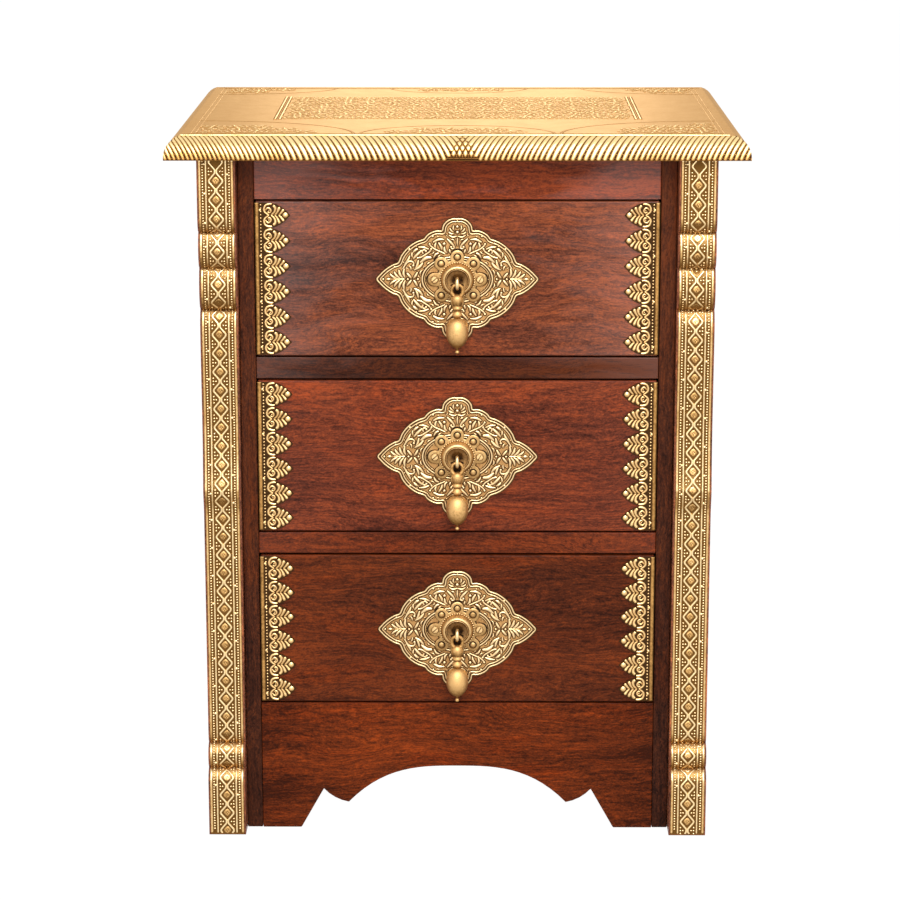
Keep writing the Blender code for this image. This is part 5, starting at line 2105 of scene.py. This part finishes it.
@dataclass(frozen=True)
class Pull:
    """Cast rosette, eye and drop of a pull, in metres.

    Attributes:
        press: bench that sets the beads.
        orbit: distance of the petals from the middle.
        petal: radius of a petal.
        valley: radius between petals.
        skirt: (scale, height, relief) of the dark edge under the petals, a painted shadow.
        plate: (scale, height, relief) of the petal plate.
        moat: (radius, height, relief) of the dark hollow round a boss or a screw.
        boss: (radius, height, relief) of a boss.
        screw: (radius, height, relief) of a screw's head under its slot.
        screw_half: (scale, height, relief) of each half beside the slot.
        dome: (radius, height, relief) of the dome from its foot over its crest into the cup,
            in millimetres.
        painted_shadow: half width, top and bottom of the painted shadow behind the link, from the middle.
        painted_shadow_level: height above which it lies on the dome.
        painted_shadow_relief: relief that it counts as, below the ground's.
        beads: number of beads round the dome.
        link: (radius, straight, wire) of the link.
        link_swell: how much thicker the link is at its foot.
        eye_front: top, bottom and radius of the worn front of the eye.
        swellings: (length, radius, radius of the groove under it, lean) of each swelling above the egg.
        shoulder: (radius, height, relief) above the first swelling, from the foot of the link.
        first_groove: radius of the groove over the first swelling.
        egg: (length, radius, lean, fullness) of the drop.
        finial: (radius, length) of the neck under the egg and of the bead at its end.
        back_bulge: how far the back of the drop swells, as a share of its front.
    """

    press: Press
    orbit: float = 0.0197
    petal: float = 0.0060
    valley: float = 0.0175
    skirt: tuple[Triple, ...] = ((1.05, 0.0, -0.4), (1.05, 0.0001, -0.4), (0.9, 0.0002, -0.4))
    plate: tuple[Triple, ...] = (
        (0.985, 0.0001, 0.0),
        (1.0, 0.0004, 0.1),
        (1.0, 0.0014, 0.4),
        (0.975, 0.0019, 0.6),
        (0.94, 0.0020, 0.5),
    )
    moat: tuple[Triple, ...] = ((0.0036, -0.0004, -0.4), (0.0035, 0.0001, -0.4), (0.0020, 0.0001, -0.4))
    boss: tuple[Triple, ...] = (
        (0.0024, -0.0004, 0.1),
        (0.0024, 0.0003, 0.35),
        (0.0021, 0.0006, 0.5),
        (0.0010, 0.0008, 0.6),
        (0.0003, 0.0008, 0.6),
    )
    screw: tuple[Triple, ...] = ((0.0032, -0.0004, 0.1), (0.0032, 0.0006, 0.6), (0.0028, 0.0008, 0.2))
    screw_half: tuple[Triple, ...] = ((1.0, 0.0005, 0.6), (0.97, 0.0010, 0.9), (0.82, 0.0014, 1.0))
    dome: tuple[Triple, ...] = (
        (15.0, 1.0, 0.0),
        (14.8, 2.2, 0.05),
        (14.4, 3.6, 0.30),
        (14.0, 5.2, 0.45),
        (13.5, 6.7, 0.55),
        (12.9, 7.9, 0.65),
        (12.2, 8.7, 0.72),
        (11.5, 9.05, 0.75),
        (10.9, 9.05, 0.65),
        (10.5, 8.7, 0.35),
        (10.3, 8.3, 0.10),
        (10.1, 8.5, 0.60),
        (9.8, 8.75, 0.90),
        (9.5, 8.6, 0.65),
        (9.25, 8.1, 0.20),
        (8.6, 7.8, 0.34),
        (7.4, 7.4, 0.34),
        (6.2, 7.1, 0.30),
        (5.0, 6.8, 0.25),
        (4.2, 5.8, 0.05),
        (2.4, 5.4, 0.0),
    )
    painted_shadow: Triple = (0.0052, -0.0030, -0.0140)
    painted_shadow_level: float = 0.003
    painted_shadow_relief: float = -0.6
    beads: int = 44
    link: Triple = (0.0048, 0.0012, 0.0014)
    link_swell: float = 0.0006
    eye_front: Triple = (0.0038, -0.0068, 0.0017)
    shoulder: tuple[Triple, ...] = ((0.0002, 0.0026, 0.3), (0.0026, 0.0023, 0.4), (0.0040, 0.0012, 0.7))
    first_groove: float = 0.0048
    egg: tuple[float, float, float, float] = (0.0265, 0.0097, 0.86, 2.2)
    finial: tuple[float, float, float, float] = (0.0011, 0.0016, 0.0015, 0.0033)
    back_bulge: float = 0.86
    swellings: tuple[tuple[float, float, float, float], ...] = (
        (0.0072, 0.0049, 0.0038, 0.45),
        (0.0046, 0.0043, 0.0030, 1.0),
        (0.0066, 0.0043, 0.0027, 1.0),
    )

    def build(self) -> None:
        """Cast the parts and put them on every drawer."""
        rosette, beads = self._rosette(), self._bead_ring()
        eye, drop = self._eye_front(), self._drop()
        for name in DRAWERS:
            body = f"{name}_drawer"
            low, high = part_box(f"{name}_pull_rosette")
            spot = Vector(((low.x + high.x) / 2, high.y, (low.z + high.z) / 2))
            place = Matrix.Translation(spot) @ FACING
            add_piece(f"{name}_rosette", rosette, body, place, [f"{name}_pull_rosette"])
            add_piece(f"{name}_rosette_beads", beads, body, place)
            coat(f"{name}_pull_split_pin", WIRE_BRASS, 0.0)
            low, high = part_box(f"{name}_pull_split_pin")
            place = Matrix.Translation(((low.x + high.x) / 2, low.y, spot.z))
            add_piece(f"{name}_eye_front", eye, body, place)
            low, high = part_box(f"{name}_pull_drop")
            middle = (low + high) / 2
            place = Matrix.Translation((middle.x, middle.y, high.z - self.link[2]))
            add_piece(f"{name}_drop", drop, f"{name}_pull", place, [f"{name}_pull_drop"])

    def _petal_outline(self) -> list[Point]:
        """Outline of the petals, valleys included.

        Returns:
            Points round the rosette in metres.
        """
        made = []
        count = 192
        for step in range(count):
            angle = 2 * math.pi * step / count
            off = (angle + math.pi / 8) % (math.pi / 4) - math.pi / 8
            side = self.orbit * math.sin(off)
            reach = self.valley
            if abs(side) < self.petal:
                reach = max(reach, self.orbit * math.cos(off) + math.sqrt(self.petal**2 - side**2))
            made.append((reach * math.cos(angle), reach * math.sin(angle)))
        return made

    def _rosette(self) -> Mesh:
        """Petal plate, bosses, dome and screws, its back at height 0.

        Returns:
            The rosette, facing +Z.
        """
        shaper = Shaper()
        petals = self._petal_outline()
        # Dark skirt under the petals: a painted shadow.
        shaper.stacked(petals, self.skirt, IN_PLACE)
        shaper.stacked(petals, self.plate, IN_PLACE)
        face = self.plate[-1][1]
        for index, (u, v) in enumerate(oval(self.orbit, self.orbit, 8)):
            spot = Matrix.Translation((u, v, face))
            shaper.turned(self.moat, 24, spot)
            if index % 4 == 0:
                self._set_screw(shaper, spot, math.radians(63.0 + 40.0 * index))
            else:
                shaper.turned(self.boss, 20, spot)
        dome = [(radius * MM, height * MM, relief) for radius, height, relief in self.dome]
        shaper.turned(dome, 72, IN_PLACE)
        # Painted shadow of the link on the dome: these vertices get a relief below the ground's, so they
        # show darkest.
        half, top, bottom = self.painted_shadow
        for vertex in shaper.bm.verts:
            x, y, z = vertex.co
            if abs(x) < half and bottom < y < top and z > self.painted_shadow_level:
                vertex[shaper.relief] = self.painted_shadow_relief
        return shaper.finish("rosette", ROSETTE_BRASS)

    def _set_screw(self, shaper: Shaper, spot: Matrix, turn: float) -> None:
        """Slotted round-head screw.

        Args:
            shaper: collection that it goes into.
            spot: where it goes.
            turn: way that its slot points.
        """
        shaper.turned(self.screw, 24, spot)
        half = oval(0.0031, 0.0031, 13, math.radians(9), math.radians(162))
        for way in (0.0, math.pi):
            place = spot @ Matrix.Rotation(turn + way, 4, "Z")
            shaper.stacked(half, self.screw_half, place)

    def _bead_ring(self) -> Mesh:
        """Beads at the foot of the dome.

        Returns:
            The beads, facing +Z.
        """
        rings = [(LineWork.boss(0.95, 1.0), self.dome[0][0], self.beads)]
        mesh = self.press.strike(
            "rosette_beads", LineWork(), ROSETTE_BRASS, height=0.0008, step=0.001, rings=rings
        )
        mesh.transform(Matrix.Translation((0.0, 0.0, 0.0023)))
        return mesh

    def _eye_front(self) -> Mesh:
        """Worn front of the eye, its face at y 0 and the rosette's middle at height 0.

        Returns:
            The upright bar.
        """
        shaper = Shaper()
        top, bottom, radius = self.eye_front
        shares = [step / 12 for step in range(13)]
        bows = [max(0.3, math.sin(math.pi * share) ** 0.35) for share in shares]
        route = []
        for share, bow in zip(shares, bows):
            depth = radius + (1.0 - bow) * 2 * radius
            route.append(Vector((0.0, depth, top + (bottom - top) * share)))
        shaper.tube(route, Vector((1.0, 0.0, 0.0)), [radius * bow for bow in bows], 12, False, 1.0)
        return shaper.finish("eye_front", WIRE_BRASS)

    def _drop(self) -> Mesh:
        """Link and turned drop, hanging from the origin.

        Returns:
            The drop.
        """
        shaper = Shaper()
        radius, straight, wire = self.link
        route = []
        for end in (0, 1):
            for step in range(15):
                angle = math.pi * (end + step / 14) - math.pi / 2
                out = Vector((math.sin(angle), 0.0, math.cos(angle)))
                route.append(Vector((0.0, 0.0, -radius - end * straight)) + out * radius)
        foot = radius + straight
        radii = [wire + self.link_swell * max(0.0, -spot.z - radius) / foot for spot in route]
        shaper.tube(route, Vector((0.0, 1.0, 0.0)), radii, 14, True, 0.55)
        level = -2 * radius - straight
        profile = [(reach, level + above, relief) for reach, above, relief in self.shoulder]
        groove = self.first_groove
        for length, swell, below, lean in self.swellings:
            for step in range(1, 13):
                share = step / 12
                base = groove + (below - groove) * share
                bow = math.sin(math.pi * share**lean)
                profile.append((base + (swell - base) * bow, level - length * share, 0.35 + 0.6 * bow))
            level -= length
            groove = below
        length, swell, lean, fullness = self.egg
        for step in range(1, 36):
            share = step / 36
            bow = math.sqrt(max(0.0, 1 - abs(2 * share**lean - 1) ** fullness))
            if swell * bow > groove:
                profile.append((swell * bow, level - length * share, 0.4 + 0.6 * bow))
        level -= length
        neck, neck_length, tip, tip_length = self.finial
        profile += [(neck, level, 0.2), (neck, level - neck_length, 0.2)]
        level -= neck_length
        for step in range(1, 8):
            angle = math.pi * step / 8
            reach = neck * 0.3 + tip * math.sin(angle)
            profile.append((reach, level - tip_length * (1 - math.cos(angle)) / 2, 1.0))
        shaper.turned(profile, 40, IN_PLACE)
        for vertex in shaper.bm.verts:
            if vertex.co.y > 0 and vertex.co.z <= profile[0][1]:
                vertex.co.y *= self.back_bulge
        return shaper.finish("drop", CAST_BRASS)


@dataclass(frozen=True)
class Studio:
    """Camera, lights, floor and surroundings.

    Attributes:
        camera: place of the camera.
        yaw: turn of the camera to its right, in degrees.
        pitch: tilt of the camera downwards, in degrees.
        roll: turn of the camera about its own axis, in degrees.
        lens: focal length on a 36 mm sensor.
        floor: half of the floor's width.
        ambient: strength of the surroundings as light.
        lights: (name, place, width and height, watts) of each light.
        aim: what the lights point at.
    """

    camera: Triple = (0.010925, -2.7069, 0.94271)
    yaw: float = -0.3915
    pitch: float = 13.1195
    roll: float = -0.0254
    lens: float = 118.571
    floor: float = 30.0
    ambient: float = 0.26
    lights: tuple[tuple[str, Triple, Point, float], ...] = (
        ("wall", (0.0, -4.0, 2.2), (2.6, 3.8), 90.0),
        ("key", (0.2, -1.7, 2.0), (1.2, 1.2), 29.0),
        ("back", (0.0, 2.8, 1.25), (0.7, 0.5), 6.0),
    )
    aim: Triple = (0.0, 0.0, 0.32)

    def build(self) -> None:
        """Set up everything around the chest."""
        self._camera()
        self._floor()
        self._world()
        for name, place, size, power in self.lights:
            self._light(name, place, size, power)
        bpy.context.scene.view_settings.view_transform = "Standard"

    def _camera(self) -> None:
        """Camera where the photograph was taken from."""
        yaw, pitch, roll = (math.radians(a) for a in (self.yaw, self.pitch, self.roll))
        right = Vector((math.cos(yaw), -math.sin(yaw), 0.0))
        ahead = Vector((math.sin(yaw) * math.cos(pitch), math.cos(yaw) * math.cos(pitch), -math.sin(pitch)))
        up = right.cross(ahead)
        level = right * math.cos(roll) + up * math.sin(roll)
        upright = up * math.cos(roll) - right * math.sin(roll)
        turn = Matrix((level, upright, -ahead)).transposed()
        lens = bpy.data.cameras.new("camera")
        lens.lens = self.lens
        lens.sensor_width = 36.0
        lens.clip_end = 200.0
        holder = bpy.data.objects.new("camera", lens)
        holder.matrix_world = Matrix.Translation(self.camera) @ turn.to_4x4()
        bpy.context.scene.collection.objects.link(holder)
        bpy.context.scene.camera = holder

    def _floor(self) -> None:
        """Plain white floor."""
        mesh = bpy.data.meshes.new("studio_floor")
        signs = ((-1, -1), (1, -1), (1, 1), (-1, 1))
        mesh.from_pydata([(u * self.floor, v * self.floor, 0.0) for u, v in signs], [], [(0, 1, 2, 3)])
        mesh.materials.append(Paper().build())
        floor = bpy.data.objects.new("studio_floor", mesh)
        bpy.context.scene.collection.objects.link(floor)

    def _world(self) -> None:
        """White surroundings, softer as light than as background."""
        world = bpy.data.worlds.new("studio")
        world.use_nodes = True
        bpy.context.scene.world = world
        graph = Shading(world.node_tree)
        strength = self.ambient + background_rays(graph) * (1.0 - self.ambient)
        sky = graph.wire("ShaderNodeBackground", {}, {"Color": WHITE, "Strength": strength})
        graph.node("ShaderNodeOutputWorld", {}, {"Surface": sky})

    def _light(self, name: str, place: Triple, size: Point, power: float) -> None:
        """Soft light aimed at the chest.

        Args:
            name: name of the light.
            place: where it stands.
            size: its width and height in metres.
            power: power in watts.
        """
        lamp = bpy.data.lights.new(name, "AREA")
        lamp.shape = "RECTANGLE"
        lamp.size, lamp.size_y = size
        lamp.energy = power
        holder = bpy.data.objects.new(name, lamp)
        holder.location = place
        ahead = Vector(self.aim) - Vector(place)
        holder.rotation_euler = ahead.to_track_quat("-Z", "Y").to_euler()
        bpy.context.scene.collection.objects.link(holder)


# Finishes of this chest


PLY = Wood("ply_sheet", Grain.UPRIGHT, 3.3, (0.36, 0.20, 0.105), 0.65, 0.2)
FLOOR_PLY = Wood("ply_floor", Grain.ACROSS, 5.2, (0.36, 0.20, 0.105), 0.65, 0.2)
# The fronts are toned lighter from the bottom drawer up to the top one: painted light that falls off
# downwards. The top front's trend makes it lighter to the right and towards its ends: a painted reflection.
DRAWER_BOXES = (
    DrawerBox("bottom", 4.1, (0.107, 0.0222, 0.0066), (-0.15, 0.0), 0.0),
    DrawerBox("middle", 6.4, (0.156, 0.033, 0.0140), (-0.1, 0.0), 0.3),
    DrawerBox("top", 8.7, (0.158, 0.0410, 0.0186), (0.75, 3.5), 2.3),
)
SHEET_BRASS = Brass(
    "sheet_brass_pattern",
    ridge=(1.0, 0.77, 0.42, 1.0),
    body=(0.65, 0.38, 0.135, 1.0),
    foot=(0.135, 0.060, 0.011, 1.0),
    ground=(0.165, 0.074, 0.013, 1.0),
    lift=0.08,
    painted_facing_light=0.48,
    hammer=0.0003,
    dents=120.0,
)
LACE_BRASS = Brass("lace_brass", ridge=(0.92, 0.63, 0.29, 1.0), body=(0.58, 0.31, 0.095, 1.0), painted_facing_light=0.42)
GROUND_BRASS = Brass(
    "sheet_brass_ground",
    foot=(0.055, 0.024, 0.006, 1.0),
    ground=(0.055, 0.024, 0.006, 1.0),
)
PLATE_BRASS = Brass(
    "plate_brass",
    ridge=(0.96, 0.71, 0.38, 1.0),
    body=(0.62, 0.37, 0.14, 1.0),
    foot=(0.20, 0.10, 0.034, 1.0),
    ground=(0.16, 0.08, 0.027, 1.0),
    lift=0.06,
)
PLATE_GROUND = Brass(
    "plate_brass_ground",
    body=(0.63, 0.365, 0.142, 1.0),
    foot=(0.50, 0.275, 0.102, 1.0),
    ground=(0.44, 0.235, 0.084, 1.0),
    lift=0.1,
)
PLATE_SHADOW = Brass(
    "plate_brass_shadow",
    body=(0.085, 0.037, 0.011, 1.0),
    foot=(0.060, 0.026, 0.008, 1.0),
    ground=(0.045, 0.019, 0.006, 1.0),
)
ROPE_BRASS = Brass(
    "rope_brass",
    ridge=(1.0, 0.76, 0.37, 1.0),
    body=(0.58, 0.30, 0.08, 1.0),
    foot=(0.09, 0.026, 0.005, 1.0),
    ground=(0.045, 0.013, 0.003, 1.0),
    gloss=0.26,
    edge=(1.0, 0.78, 0.44, 1.0),
)
TOP_BRASS = Brass(
    "top_brass",
    ridge=(0.68, 0.39, 0.15, 1.0),
    body=(0.55, 0.285, 0.088, 1.0),
    foot=(0.50, 0.245, 0.068, 1.0),
    ground=(0.47, 0.225, 0.060, 1.0),
    lift=0.3,
    hammer=0.0003,
    dents=70.0,
    dull=0.46,
    gloss=0.32,
    edge=(0.91, 0.77, 0.51, 1.0),
)
TOP_RELIEF = Brass(
    "top_brass_relief",
    ridge=(0.96, 0.71, 0.37, 1.0),
    body=(0.70, 0.40, 0.145, 1.0),
    foot=(0.46, 0.22, 0.055, 1.0),
    ground=(0.48, 0.23, 0.060, 1.0),
    painted_facing_light=0.1,
    edge=(1.0, 0.88, 0.64, 1.0),
)
TOP_SHADOW = Brass(
    "top_brass_shadow",
    ridge=(0.34, 0.15, 0.035, 1.0),
    body=(0.30, 0.13, 0.030, 1.0),
    foot=(0.24, 0.10, 0.022, 1.0),
    ground=(0.20, 0.08, 0.016, 1.0),
    edge=(0.75, 0.48, 0.22, 1.0),
)
ROSETTE_BRASS = Brass(
    "rosette_brass",
    ridge=(0.84, 0.57, 0.27, 1.0),
    body=(0.46, 0.27, 0.10, 1.0),
    foot=(0.16, 0.080, 0.030, 1.0),
    ground=(0.030, 0.014, 0.005, 1.0),
    gloss=0.42,
)
CAST_BRASS = Brass(
    "cast_brass_parts",
    ridge=(0.80, 0.49, 0.195, 1.0),
    body=(0.46, 0.255, 0.085, 1.0),
    foot=(0.15, 0.07, 0.02, 1.0),
    ground=(0.13, 0.06, 0.017, 1.0),
    gloss=0.54,
    mottle=1.1,
    hammer=0.0003,
    dents=150.0,
)
WIRE_BRASS = Brass("cast_brass_wire", lift=0.85, gloss=0.4)


def main() -> None:
    """Dress the chest, sub-assembly by sub-assembly, and set up the studio."""
    logging.basicConfig(level=logging.INFO, format="%(message)s")
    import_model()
    press = Press()
    Carcass().dress()
    TopDressing(press).build()
    PostStrips(press).build()
    for drawer in DRAWER_BOXES:
        drawer.dress()
    DrawerLace(press).build()
    PullPlate(press).build()
    Pull(press).build()
    Studio().build()


if __name__ == "__main__":
    main()
